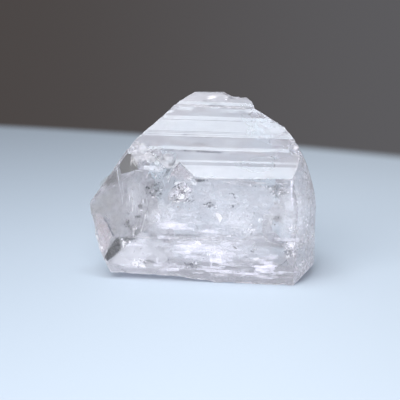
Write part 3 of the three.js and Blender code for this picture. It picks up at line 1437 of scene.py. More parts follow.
    def _places(self, swarm: Swarm) -> Array:
        """Scatters a swarm's members.

        Args:
            swarm: What the swarm is like.

        Returns:
            One place a row.
        """
        if swarm.depth is None:
            return self.random.normal(0.0, 0.5, (swarm.count, 3)) * swarm.reach + swarm.middle
        turns = self.random.uniform(0.0, 2.0 * np.pi, swarm.count)
        away = np.sqrt(self.random.random(swarm.count))
        xs = swarm.middle[0] + swarm.reach[0] * away * np.cos(turns)
        zs = swarm.middle[2] + swarm.reach[2] * away * np.sin(turns)
        deep = swarm.depth * self.random.uniform(0.7, 1.5, swarm.count)
        return np.array([self.solid.under_face(*place) for place in zip(xs, zs, deep)])

    def streaks(self, swarm: Swarm, cover: float, slim: Pair = (0.06, 0.2)) -> None:
        """Adds a swarm of thin plates, drawn out along X.

        Args:
            swarm: Where they are, and their half-lengths.
            cover: How milky they are.
            slim: Their smallest and largest height, as a share of their length.
        """
        for middle in self._places(swarm):
            if not self.solid.holds(middle, CLEARANCE):
                continue
            half = self.random.uniform(*swarm.size)
            facing = (self.random.normal(0.0, 0.1), -1.0, self.random.normal(0.12, 0.08))
            self.plate(middle, (half, half * self.random.uniform(*slim)), facing,
                       cover * self.random.uniform(0.6, 1.0))

    def swarm(self, swarm: Swarm, thickness: float, sides: int) -> None:
        """Adds every flake of a swarm.

        Args:
            swarm: Where they are, how large they are and which way they face.
            thickness: Their thickness, as a share of their size.
            sides: How many corners each outline has.
        """
        places = self._places(swarm)
        sizes = swarm.size[0] + (swarm.size[1] - swarm.size[0]) * self.random.random(swarm.count) ** 2
        for middle, size in zip(places, sizes):
            if self.solid.holds(middle, CLEARANCE + 0.35 * size):
                self.flake(middle, size, swarm.facing, swarm.stray, thickness, sides)

    def sheet(self, veil: Veil, rings: int = 9, sectors: int = 28) -> None:
        """Adds a gently curled, ragged-edged lens of a sheet.

        Args:
            veil: What it is like.
            rings: Rows of triangles from the middle to the rim.
            sectors: Triangles round the rim.
        """
        third = np.array(veil.facing, float) / np.linalg.norm(veil.facing)
        first = np.array(veil.sideways, float) - third * np.dot(veil.sideways, third)
        first /= np.linalg.norm(first)
        second = np.cross(third, first)
        ragged = 1.0 + 0.22 * self.random.uniform(-1, 1, sectors)
        points, amount = [], []
        for side in (SHEET_HALF_THICKNESS, -SHEET_HALF_THICKNESS):
            for ring in range(rings + 1):
                share = ring / rings
                for sector in range(sectors if ring else 1):
                    turn = 2 * math.pi * sector / sectors
                    reach = share * (ragged[sector] if ring else 1.0)
                    bow = -veil.curl * share**2 + side * (1 - share**2)
                    points.append(first * veil.half[0] * reach * math.cos(turn)
                                  + second * veil.half[1] * reach * math.sin(turn) + third * bow)
                    amount.append(veil.cover * (1 - share**2))
        points = np.array(points) + np.array(veil.middle)
        layer = len(points) // 2
        self._slab(points[:layer], points[layer:], sectors, np.array(amount[:layer]))

    def piece(self, name: str, material: bpy.types.Material) -> bpy.types.Object:
        """Makes the piece from everything gathered.

        Args:
            name: The piece's name.
            material: Its finish.

        Returns:
            The finished piece.
        """
        marks = {"cover": np.concatenate(self.cover)}
        made = mesh_object(name, np.vstack(self.points), np.vstack(self.triangles), marks)
        made.data.materials.append(material)
        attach(made, BODY)
        return made


@dataclass
class Flaws:
    """What the crystal holds: cracks, veils, bright glints, dark grains, smoke-grey patches and needles. The
    glints and the shining of the bright flaws are painted light; parts of the smoke-grey patches, the dark,
    warm patches and the dark lines under the ledge creases are painted shade.
    """

    solid: PackedSolid
    crack_seed: int = 101
    glint_seed: int = 103
    grain_seed: int = 107
    veil_seed: int = 109
    plate_seed: int = 113
    needle_seed: int = 114
    splinter_seed: int = 115
    smoke_and_shade_seed: int = 127
    dark_view_seed: int = 128
    rosy_seed: int = 129

    def build(self) -> List[bpy.types.Object]:
        """Builds every kind of flaw.

        Returns:
            The finished pieces.
        """
        return [
            self._cracks(),
            self._shattered(),
            self._glints(),
            self._grains(),
            self._veils(),
            self._plates(),
            self._needles(),
            self._smoke_and_painted_shade(),
            self._painted_dark_view(),
            self._rosy(),
        ]

    def _cracks(self) -> bpy.types.Object:
        """Builds the flat, silvery cracks.

        Returns:
            The finished piece.
        """
        maker = FlawMaker(self.solid, self.crack_seed)
        swarms = (
            Swarm((-2.6, -9.2, 12.2), (1.5, 0.5, 1.2), 34, (0.15, 0.6), (0.1, -0.9, 0.6), 0.4),
            Swarm((-6.2, -7.9, 12.6), (1.3, 0.6, 1.0), 22, (0.15, 0.5), (-0.3, -0.9, 0.2), 0.5),
            Swarm((-5.2, -7.4, 15.9), (2.4, 0.5, 0.9), 20, (0.15, 0.5), (-0.3, -0.9, 0.2), 0.5),
            Swarm((11.0, -9.2, 13.4), (1.7, 0.4, 1.1), 26, (0.15, 0.5), (0.5, -0.8, 0.4), 0.4),
            Swarm((13.3, -9.2, 5.2), (1.1, 0.5, 1.2), 44, (0.15, 0.5), (0.4, -0.8, 0.6), 0.5),
            Swarm((2.6, -8.8, 3.8), (7.0, 0.8, 1.4), 44, (0.15, 0.55), (0.0, -0.75, 0.8), 0.4),
            Swarm((-8.8, -6.6, 17.5), (1.9, 0.5, 1.1), 50, (0.15, 0.5), (-0.2, -0.8, 0.6), 0.7),
            Swarm((-9.6, -8.0, 8.9), (1.8, 0.5, 2.4), 20, (0.12, 0.4), (-0.3, -0.9, 0.5), 0.5),
            Swarm((14.4, -5.8, 9.4), (0.8, 2.0, 6.4), 56, (0.12, 0.45), (0.8, -0.6, 0.4), 0.5),
            Swarm((5.0, -6.0, 9.0), (8.0, 2.0, 4.6), 44, (0.1, 0.36), (0.0, -0.7, 0.7), 0.4),
        )
        for swarm in swarms:
            maker.swarm(swarm, 0.06, 6)
        return maker.piece("silvery_cracks", AirGap().material())

    def _shattered(self) -> bpy.types.Object:
        """Builds the shattered patches, white and dark side by side; the white splinters shine with painted
        light, as painted sparkle.

        Returns:
            The finished piece.
        """
        maker = FlawMaker(self.solid, self.splinter_seed)
        for row in (
            ((-6.75, 18.95), (0.6, 0.3), 0.2, 0.75, 0.05),
            ((-7.4, 18.2), (0.45, 0.3), 0.2, 0.6, 0.2),
            ((-8.3, 17.5), (1.4, 0.9), 0.24, 0.34, 0.3),
            ((-9.3, 18.4), (0.7, 0.6), 0.22, 0.4, 0.25),
            ((-7.9, 18.8), (0.6, 0.22), 0.2, 0.1, 0.7),
            ((-2.4, 12.6), (1.5, 1.5), 0.28, 0.26, 0.24),
            ((-2.6, 14.1), (0.9, 0.25), 0.2, 0.55, 0.1),
            ((1.9, 11.1), (1.0, 0.6), 0.33, 0.06, 0.5),
            ((4.9, 12.2), (0.5, 1.1), 0.3, 0.14, 0.34),
            ((11.4, 13.4), (1.5, 1.0), 0.25, 0.3, 0.26),
            ((9.8, 13.7), (0.3, 0.7), 0.2, 0.5, 0.15),
            ((7.6, 14.0), (0.7, 0.6), 0.24, 0.25, 0.05),
            ((14.1, 11.9), (0.5, 0.5), 0.2, 0.55, 0.1),
            ((13.5, 5.2), (1.1, 1.1), 0.25, 0.42, 0.32),
            ((14.75, 2.3), (0.95, 1.1), 0.33, 0.62, 0.1),
            ((-8.5, 2.4), (1.2, 0.7), 0.24, 0.62, 0.14),
            ((-1.1, 2.4), (1.0, 0.6), 0.32, 0.3, 0.5),
            ((7.8, 7.7), (1.0, 0.8), 0.25, 0.38, 0.05),
            ((13.3, 8.1), (0.6, 0.7), 0.3, 0.62, 0.1),
            ((-10.1, 5.6), (1.2, 0.4), 0.3, 0.2, 0.65),
            ((-10.6, 5.0), (0.5, 0.35), 0.22, 0.6, 0.1),
            ((-12.3, 4.2), (0.8, 1.1), 0.3, 0.04, 0.45, 0.05),
            ((-10.3, 8.0), (0.5, 0.7), 0.32, 0.1, 0.7),
            ((-8.5, 10.4), (0.5, 0.6), 0.32, 0.1, 0.7),
            ((-8.7, 9.0), (0.7, 0.3), 0.3, 0.05, 0.65),
            ((-9.3, 7.2), (1.1, 0.7), 0.3, 0.1, 0.42),
            ((-8.1, 11.2), (0.13, 0.4), 0.16, 0.85, 0.0),
            ((-6.4, 12.9), (1.3, 1.4), 0.3, 0.1, 0.42),
            ((-0.2, 5.4), (1.0, 0.3), 0.24, 0.5, 0.05),
            ((2.9, 4.3), (1.2, 0.6), 0.26, 0.5, 0.06),
            ((0.5, 24.95), (0.6, 0.3), 0.26, 0.95, 0.0, 0.15),
            ((3.4, 24.85), (1.0, 0.34), 0.3, 0.35, 0.45, 0.15),
            ((13.2, 18.9), (0.45, 0.35), 0.2, 0.8, 0.0),
            ((11.6, 18.9), (0.15, 0.25), 0.16, 0.85, 0.0),
            ((4.0, 18.0), (0.25, 0.3), 0.18, 0.7, 0.0),
            ((9.9, 17.6), (0.2, 0.35), 0.18, 0.6, 0.0),
            ((12.2, 17.5), (0.4, 0.4), 0.2, 0.4, 0.1),
            ((15.0, 14.2), (0.7, 2.4), 0.32, 0.24, 0.1, 0.5),
            ((15.2, 8.5), (0.7, 3.2), 0.34, 0.2, 0.05, 0.5),
            ((-14.6, 13.1), (0.6, 0.5), 0.2, 0.1, 0.35),
        ):
            maker.shatter(Splinters(*row))
        return maker.piece("shattered_patches", SplinterShade().material())

    def _glints(self) -> bpy.types.Object:
        """Builds the bright glints: painted highlights, white flecks that shine with no lamp, where small
        cracks happen to face the light.

        Returns:
            The finished piece.
        """
        maker = FlawMaker(self.solid, self.glint_seed)
        swarms = (
            Swarm((-7.9, -6.3, 18.0), (1.6, 0.3, 0.7), 50, (0.04, 0.15)),
            Swarm((7.4, -9.6, 7.5), (1.2, 0.3, 0.8), 46, (0.04, 0.2)),
            Swarm((3.0, -9.6, 4.4), (1.3, 0.3, 0.4), 26, (0.05, 0.2)),
            Swarm((10.2, -9.7, 3.2), (1.4, 0.2, 0.8), 24, (0.04, 0.18)),
            Swarm((15.0, -6.6, 11.0), (0.3, 1.0, 5.0), 36, (0.04, 0.18), (0.9, -0.5, 0.2)),
            Swarm((4.6, -9.3, 9.8), (8.0, 0.5, 4.4), 130, (0.025, 0.1)),
            Swarm((-9.6, -8.0, 10.4), (2.2, 0.4, 3.4), 50, (0.025, 0.1)),
            Swarm((8.8, 0.0, 17.5), (0.2, 0.0, 0.2), 7, (0.05, 0.16), (0.0, -0.8, 0.6), 0.3, 0.3),
            Swarm((0.5, 0.0, 24.95), (0.6, 0.0, 0.12), 34, (0.1, 0.24), (0.0, -0.5, 0.85), 0.3, 0.75),
            Swarm((3.2, 0.0, 24.95), (0.6, 0.0, 0.12), 12, (0.08, 0.18), (0.0, -0.5, 0.85), 0.3, 0.75),
            Swarm((13.3, 0.0, 18.9), (0.3, 0.0, 0.2), 12, (0.1, 0.22), (0.3, -0.9, 0.2), 0.3, 0.35),
            Swarm((9.2, 0.0, 16.62), (0.12, 0.0, 0.06), 5, (0.08, 0.14), (0.0, -0.8, 0.6), 0.3, 0.2),
            Swarm((-2.8, 0.0, 22.1), (0.3, 0.0, 0.1), 7, (0.06, 0.14), (0.0, -0.6, 0.8), 0.3, 0.3),
            Swarm((3.3, 0.0, 20.9), (0.5, 0.0, 0.1), 7, (0.05, 0.14), (0.0, -0.6, 0.8), 0.3, 0.3),
            Swarm((4.8, 0.0, 20.0), (0.4, 0.0, 0.14), 8, (0.04, 0.12), (0.0, -0.7, 0.6), 0.3, 0.3),
            Swarm((15.2, 0.0, 10.0), (0.6, 0.0, 5.5), 70, (0.07, 0.28), (0.8, -0.5, 0.1), 0.5, 0.2),
            Swarm((3.0, -4.0, 20.3), (8.0, 0.4, 0.5), 30, (0.03, 0.1), (0.0, -0.6, 0.8)),
        )
        for swarm in swarms:
            maker.swarm(swarm, 0.1, 5)
        for outline in (
            ((2.5, 10.1), (3.1, 10.0), (3.5, 9.4), (3.1, 8.6), (2.9, 9.2), (2.5, 9.7)),
            ((-2.1, 13.0), (-1.5, 13.6), (-1.2, 13.5), (-1.9, 12.9)),
            ((-3.1, 11.9), (-2.5, 12.7), (-1.9, 12.5), (-2.1, 11.9)),
            ((-3.6, 11.5), (-3.0, 11.7), (-2.5, 11.6), (-2.9, 11.4)),
            ((-3.5, 14.0), (-3.1, 14.3), (-2.9, 14.1), (-3.3, 13.8)),
            ((-2.4, 14.3), (-2.0, 14.4), (-1.9, 14.2)),
            ((-0.4, 14.4), (-0.15, 14.3), (-0.3, 14.1)),
            ((-10.9, 5.6), (-10.6, 5.3), (-10.8, 4.8), (-11.1, 5.1)),
            ((-11.0, 4.9), (-10.7, 4.8), (-10.9, 4.5)),
            ((13.2, 6.1), (13.6, 5.9), (13.5, 5.4), (13.1, 5.6)),
            ((12.5, 4.3), (13.0, 4.4), (13.2, 4.0), (12.7, 3.8)),
            ((13.4, 4.7), (13.8, 4.6), (13.6, 4.1)),
            ((-9.6, 2.5), (-8.8, 2.6), (-8.7, 2.0), (-9.5, 1.9)),
            ((-8.5, 2.3), (-7.8, 2.1), (-7.5, 1.7), (-8.4, 1.8)),
            ((7.9, 3.7), (8.7, 3.9), (8.8, 3.5), (8.0, 3.4)),
            ((-0.2, 24.82), (0.2, 24.98), (0.9, 25.1), (1.2, 24.98), (0.6, 24.86), (0.1, 24.76)),
            ((2.3, 24.98), (2.7, 25.08), (2.9, 24.96), (2.5, 24.9)),
            ((13.0, 18.8), (13.2, 19.15), (13.5, 19.0), (13.6, 18.7), (13.2, 18.65)),
        ):
            maker.panel(Panel(outline, 0.35, 1.0))
        # painted highlights: white flecks that shine with no lamp
        return maker.piece("bright_glints", Fleck("bright_glint", (0.97, 0.95, 1.0), 0.38).material())

    def _grains(self) -> bpy.types.Object:
        """Builds the dark grains and hair-thin dark lines; the lines under the creases between some ledges
        are painted shade.

        Returns:
            The finished piece.
        """
        maker = FlawMaker(self.solid, self.grain_seed)
        swarms = (
            Swarm((2.0, -9.5, 14.0), (0.3, 0.1, 0.2), 4, (0.04, 0.1)),
            Swarm((6.3, -9.5, 9.3), (0.5, 0.2, 0.4), 8, (0.03, 0.09)),
            Swarm((11.6, 0.0, 9.8), (0.7, 0.0, 0.6), 9, (0.05, 0.14), (0.0, -1.0, 0.1), 0.3, 0.4),
            Swarm((7.8, 0.0, 4.7), (0.25, 0.0, 0.1), 5, (0.08, 0.2), (0.0, -1.0, 0.1), 0.3, 0.3),
            Swarm((7.0, -9.8, 3.8), (0.2, 0.1, 0.1), 3, (0.04, 0.09)),
            Swarm((0.2, -9.65, 14.7), (0.9, 0.1, 0.16), 40, (0.06, 0.2)),
            Swarm((-10.3, 0.0, 9.6), (0.15, 0.0, 0.7), 10, (0.07, 0.18), (-0.3, -0.9, 0.3), 0.4, 0.4),
            Swarm((1.9, 0.0, 11.2), (0.8, 0.0, 0.45), 20, (0.06, 0.2), (0.0, -1.0, 0.1), 0.3, 0.25),
            Swarm((-10.4, 0.0, 8.0), (0.4, 0.0, 0.5), 18, (0.07, 0.22), (-0.3, -0.9, 0.3), 0.4, 0.25),
            Swarm((-8.5, 0.0, 10.4), (0.4, 0.0, 0.5), 16, (0.06, 0.2), (-0.3, -0.9, 0.3), 0.4, 0.25),
            Swarm((-8.9, 0.0, 9.0), (0.4, 0.0, 0.2), 12, (0.08, 0.2), (-0.3, -0.9, 0.3), 0.4, 0.25),
            Swarm((-10.3, 0.0, 5.8), (1.1, 0.0, 0.2), 46, (0.06, 0.18), (-0.2, -0.9, 0.3), 0.4, 0.2),
            Swarm((-1.2, 0.0, 2.3), (0.8, 0.0, 0.4), 26, (0.06, 0.18), (0.0, -1.0, 0.1), 0.3, 0.25),
            Swarm((-11.8, 0.0, 7.5), (0.5, 0.0, 0.7), 7, (0.05, 0.13), (-0.3, -0.9, 0.3), 0.4, 0.4),
            Swarm((-7.2, 0.0, 10.2), (0.4, 0.0, 1.0), 9, (0.05, 0.14), (-0.3, -0.9, 0.3), 0.4, 0.4),
            Swarm((-15.3, 0.0, 11.4), (0.3, 0.0, 0.5), 10, (0.05, 0.16), (-0.3, -0.9, 0.3), 0.3, 0.3),
            Swarm((-8.3, 0.0, 4.5), (0.06, 0.0, 0.06), 4, (0.08, 0.14), (0.0, -1.0, 0.1), 0.3, 0.3),
            Swarm((4.6, -9.3, 9.0), (8.0, 0.5, 4.4), 70, (0.02, 0.07)),
            Swarm((-4.1, 0.0, 21.2), (0.16, 0.0, 0.2), 9, (0.07, 0.16), (0.0, -0.6, 0.8), 0.3, 0.25),
            Swarm((-2.5, 0.0, 20.85), (0.3, 0.0, 0.08), 9, (0.05, 0.14), (0.0, -0.6, 0.8), 0.3, 0.25),
            Swarm((1.6, 0.0, 22.4), (0.2, 0.0, 0.05), 6, (0.05, 0.12), (0.0, -0.6, 0.8), 0.3, 0.25),
            Swarm((4.6, 0.0, 20.1), (0.2, 0.0, 0.1), 6, (0.05, 0.12), (0.0, -0.7, 0.6), 0.3, 0.25),
            Swarm((-0.5, 0.0, 19.1), (1.6, 0.0, 0.3), 34, (0.04, 0.13), (0.0, -0.8, 0.6), 0.3, 0.3),
            Swarm((-4.6, 0.0, 16.6), (1.4, 0.0, 0.9), 46, (0.06, 0.2), (-0.2, -0.8, 0.5), 0.5, 0.5),
            Swarm((15.2, 0.0, 9.0), (0.5, 0.0, 5.0), 30, (0.05, 0.15), (0.8, -0.5, 0.1), 0.5, 0.6),
            Swarm((1.8, 1.2, 25.0), (0.9, 0.2, 0.2), 10, (0.03, 0.12)),
            Swarm((13.4, -6.0, 12.4), (0.6, 1.4, 4.0), 24, (0.03, 0.12)),
        )
        for swarm in swarms:
            maker.swarm(swarm, 0.45, 6)
        for row in (
            ((-14.1, 8.3), (-13.4, 7.6), 0.09, 0.06),
            ((-13.5, 7.7), (-12.7, 6.5), 0.13, 0.06),
            ((-12.8, 6.7), (-12.3, 5.9), 0.14, 0.06),
            ((-5.4, 9.6), (-5.0, 8.3), 0.03),
            ((-0.6, 8.8), (0.1, 7.4), 0.03),
            ((-4.3, 3.2), (-4.4, 2.5), 0.07),
            ((-4.4, 2.6), (-4.0, 2.4), 0.06),
            ((-1.5, 4.1), (1.4, 3.8), 0.025),
            ((-4.6, 6.2), (-2.2, 6.0), 0.03),
            ((-7.3, 10.3), (-7.4, 9.8), 0.04),
            # painted shade: dark lines just under the creases between ledges
            ((-5.6, 18.34), (-3.0, 18.36), 0.06, 0.2),
            ((-3.4, 18.37), (2.2, 18.4), 0.07, 0.2),
            ((-1.4, 24.66), (0.8, 24.6), 0.04, 0.2),
            ((0.2, 24.1), (3.0, 24.13), 0.04, 0.2),
        ):
            maker.thread(*row)
        for turn in range(12):
            here, there = (math.radians(30 * k) for k in (turn, turn + 1))
            maker.thread((-6.1 + 0.75 * math.cos(here), 21.8 + 0.2 * math.sin(here)),
                         (-6.1 + 0.75 * math.cos(there), 21.8 + 0.2 * math.sin(there)), 0.05, 0.2)
        for _ in range(26):
            x, z = maker.random.uniform(-3.9, -0.8), maker.random.uniform(11.4, 14.2)
            turn = maker.random.uniform(0.4, 1.4)
            long = maker.random.uniform(0.3, 1.0)
            maker.thread((x, z), (x + long * math.cos(turn), z + long * math.sin(turn)), 0.04, 0.4)
        for row in (
            ((-7.7, 2.75), (-6.7, 2.75), 0.06, 0.3),
            ((-6.9, 2.75), (-5.9, 2.35), 0.06, 0.3),
            ((11.0, 2.3), (12.3, 3.2), 0.05, 0.3),
            ((12.2, 3.1), (13.2, 4.3), 0.05, 0.3),
        ):
            maker.thread(*row)
        return maker.piece("dark_grains", Fleck("dark_grain", (0.12, 0.12, 0.15), 0.0).material())

    def _veils(self) -> bpy.types.Object:
        """Builds the milky veils.

        Returns:
            The finished piece.
        """
        maker = FlawMaker(self.solid, self.veil_seed)
        level = (1.0, 0.0, 0.0)
        veils = (
            Veil((4.0, -5.0, 9.0), (10.0, 6.5), (0.05, -1.0, 0.1), level, 0.8, 0.42),
            Veil((1.0, -7.6, 4.2), (10.5, 2.4), (0.0, -1.0, 0.4), level, 0.4, 0.5),
            Veil((-5.4, -7.6, 8.6), (3.0, 2.4), (-0.3, -1.0, 0.1), (1.0, 0.0, 0.4), 0.3, 0.5),
            Veil((5.5, -8.3, 8.4), (2.8, 1.5), (0.2, -1.0, 0.2), (1.0, 0.0, -0.4), 0.2, 0.6),
            Veil((-9.5, -6.4, 11.0), (1.8, 3.8), (-0.6, -0.9, 0.2), level, 0.3, 0.3),
            Veil((12.8, -7.4, 9.0), (1.6, 4.6), (0.5, -1.0, 0.0), level, 0.3, 0.6),
        )
        for veil in veils:
            maker.sheet(veil)
        maker.panel(Panel(((-12.6, 2.4), (-11.3, 4.0), (-10.4, 5.0), (-9.2, 6.0), (-8.2, 6.9), (-7.0, 6.8),
                           (-7.6, 5.2), (-6.6, 3.9), (-8.2, 2.6), (-7.4, 1.0), (-12.3, 0.7)), 0.55, 0.32))
        maker.panel(Panel(((-12.4, 2.5), (-11.2, 4.0), (-10.3, 5.0), (-9.4, 5.7), (-6.4, 6.3), (-5.0, 5.6),
                           (-6.4, 4.7), (-4.4, 3.3), (-6.0, 1.9), (-5.2, 0.6), (-12.2, 0.6)), 0.65, 0.26))
        for row in (
            (-6.6, 15.7, (1.7, 0.5), 0.9, 0.8, 0.0),
            (-7.6, 15.9, (1.0, 0.3), 0.9, 0.7, 0.1),
        ):
            maker.smudge(*row)
        # painted light: the veils shine a little with no lamp
        finish = Wisp("milky_veil", (0.88, 0.89, 0.95), 0.3, 1.1, (0.6, 1.0, 1.1), 0.45)
        return maker.piece("milky_veils", finish.material())

    def _plates(self) -> bpy.types.Object:
        """Builds blocky milky plates and fine growth lines, all drawn out along the crystal.

        Returns:
            The finished piece.
        """
        maker = FlawMaker(self.solid, self.plate_seed)
        panels = (
            Panel(((2.5, 10.2), (3.1, 9.9), (3.4, 9.4), (3.0, 8.6), (2.8, 9.3), (2.4, 9.8)), 0.5, 1.0),
            Panel(((1.6, 4.0), (2.0, 4.1), (2.1, 2.1), (1.8, 2.0)), 0.5, 0.7),
            Panel(((2.8, 3.5), (3.3, 3.6), (3.4, 2.6), (2.9, 2.5)), 0.5, 0.6),
            Panel(((-10.2, 2.5), (-10.0, 2.6), (-10.0, 2.0), (-10.2, 2.0)), 0.4, 0.8),
            Panel(((-6.1, 3.2), (-5.8, 3.2), (-5.8, 2.5), (-6.0, 2.5)), 0.4, 0.8),
            Panel(((-5.9, 9.7), (-5.6, 9.9), (-5.5, 8.6), (-5.8, 8.2)), 0.5, 0.6),
            Panel(((8.5, 3.6), (9.6, 3.7), (9.7, 3.3), (10.7, 3.4), (10.6, 2.9), (8.7, 3.0)), 0.25, 0.75),
            Panel(((8.2, 2.3), (9.2, 2.4), (10.9, 2.6), (11.1, 2.2), (9.4, 1.8), (8.3, 1.9)), 0.25, 0.75),
            Panel(((10.2, 4.4), (11.3, 4.4), (11.4, 4.1), (10.1, 4.0)), 0.25, 0.5),
            Panel(((13.0, 15.0), (13.3, 15.0), (13.3, 12.2), (13.1, 12.1)), 0.3, 0.9),
            Panel(((13.2, 12.6), (13.5, 12.5), (13.4, 11.2), (13.2, 11.3)), 0.3, 0.7),
        )
        for panel in panels:
            maker.panel(panel)
        for swarm, cover in (
            (Swarm((2.8, -9.8, 4.4), (1.2, 0.1, 0.35), 20, (0.15, 0.6)), 0.9),
            (Swarm((10.1, 0.0, 3.8), (1.0, 0.0, 0.25), 9, (0.3, 0.8), depth=0.4), 1.0),
            (Swarm((9.7, 0.0, 2.6), (1.1, 0.0, 0.3), 11, (0.4, 1.0), depth=0.4), 1.0),
            (Swarm((-0.7, -9.8, 4.45), (1.3, 0.1, 0.25), 18, (0.15, 0.6)), 0.9),
            (Swarm((0.0, -9.8, 5.4), (1.1, 0.1, 0.3), 16, (0.1, 0.5)), 0.9),
            (Swarm((-3.0, -9.6, 8.0), (2.4, 0.2, 0.6), 26, (0.3, 1.2)), 0.7),
            (Swarm((-2.6, -9.6, 9.8), (2.2, 0.2, 1.0), 20, (0.1, 0.5)), 0.6),
            (Swarm((2.0, -9.6, 7.4), (1.8, 0.2, 0.3), 12, (0.2, 0.9)), 0.8),
            (Swarm((7.4, -9.6, 7.5), (1.1, 0.2, 0.6), 18, (0.1, 0.35)), 0.8),
            (Swarm((11.4, -9.6, 13.5), (1.4, 0.2, 0.8), 22, (0.08, 0.3)), 0.8),
            (Swarm((13.4, -9.5, 7.9), (0.6, 0.2, 0.7), 12, (0.1, 0.3)), 0.8),
            (Swarm((4.0, -9.5, 6.0), (6.0, 0.3, 1.2), 22, (0.15, 0.7)), 0.5),
            (Swarm((3.0, -9.7, 1.6), (9.0, 0.2, 0.9), 40, (0.3, 1.6)), 0.7),
            (Swarm((2.0, -9.6, 4.0), (9.0, 0.2, 2.4), 46, (0.3, 1.8)), 0.6),
        ):
            maker.streaks(swarm, cover)
        mosaic = Swarm((-2.4, 0.0, 12.6), (1.5, 0.0, 1.5), 18, (0.1, 0.36), depth=0.5)
        maker.streaks(mosaic, 0.7, (0.4, 0.9))
        frosty = Swarm((13.3, -9.7, 5.3), (0.8, 0.2, 0.8), 22, (0.08, 0.26))
        maker.streaks(frosty, 0.9, (0.4, 0.9))
        # painted light: the plates shine a little with no lamp
        finish = Wisp("milky_plate", (0.93, 0.92, 1.0), 0.3, 2.4, (0.4, 1.0, 1.4), 0.35)
        return maker.piece("milky_plates", finish.material())

    def _needles(self) -> bpy.types.Object:
        """Builds hair-thin bright tubes, most of them in the pointed end; part of their brightness is painted
        light.

        Returns:
            The finished piece.
        """
        maker = FlawMaker(self.solid, self.needle_seed)
        maker.needle((-12.4, -6.2, 15.8), (-11.9, -7.0, 13.2), 0.06)
        maker.needle((-12.0, -6.9, 13.6), (-11.5, -7.4, 12.0), 0.035)
        for row in (
            ((-11.5, 12.2), (-11.2, 10.4), 0.02, 0.4),
            ((-10.1, 17.4), (-9.1, 15.7), 0.045, 0.35),
            ((-9.9, 15.4), (-8.2, 15.3), 0.05, 0.4),
            ((-5.4, 14.9), (-4.8, 13.1), 0.035, 0.4),
            ((-10.2, 11.9), (-10.2, 10.8), 0.05, 0.5),
            ((-8.1, 11.5), (-8.1, 10.9), 0.06, 0.3),
        ):
            maker.thread(*row)
        for x, z, long in ((-5.0, 18.45, 17.0), (-6.6, 20.3, 19.0), (-5.6, 22.6, 15.0), (-2.6, 17.12, 15.5)):
            maker.thread((x, z), (x + long, z), 0.02, 0.12)
        for _ in range(14):
            x, z = maker.random.uniform(-11.6, -7.4), maker.random.uniform(9.6, 15.0)
            long = maker.random.uniform(0.5, 2.2)
            maker.thread((x, z), (x + maker.random.normal(0.1, 0.06) * long, z - long),
                         maker.random.uniform(0.01, 0.025), maker.random.uniform(0.4, 1.6))
        for _ in range(26):
            x, z = maker.random.uniform(-9.0, 10.0), maker.random.uniform(0.5, 8.5)
            maker.thread((x, z), (x + maker.random.uniform(0.6, 3.0), z + maker.random.normal(0.0, 0.02)),
                         maker.random.uniform(0.01, 0.022), maker.random.uniform(0.2, 0.5))
        # painted light: the needles shine with no lamp
        return maker.piece("needles", Fleck("needle", (0.93, 0.93, 0.98), 0.35).material())

    def _smoke_and_painted_shade(self) -> bpy.types.Object:
        """Builds smoke-grey wedges and smudges: partly the crystal's own cloudiness, partly painted shade,
        where a break looks into the dark room and just under the top edge of the front face.

        Returns:
            The finished piece.
        """
        maker = FlawMaker(self.solid, self.smoke_and_shade_seed)
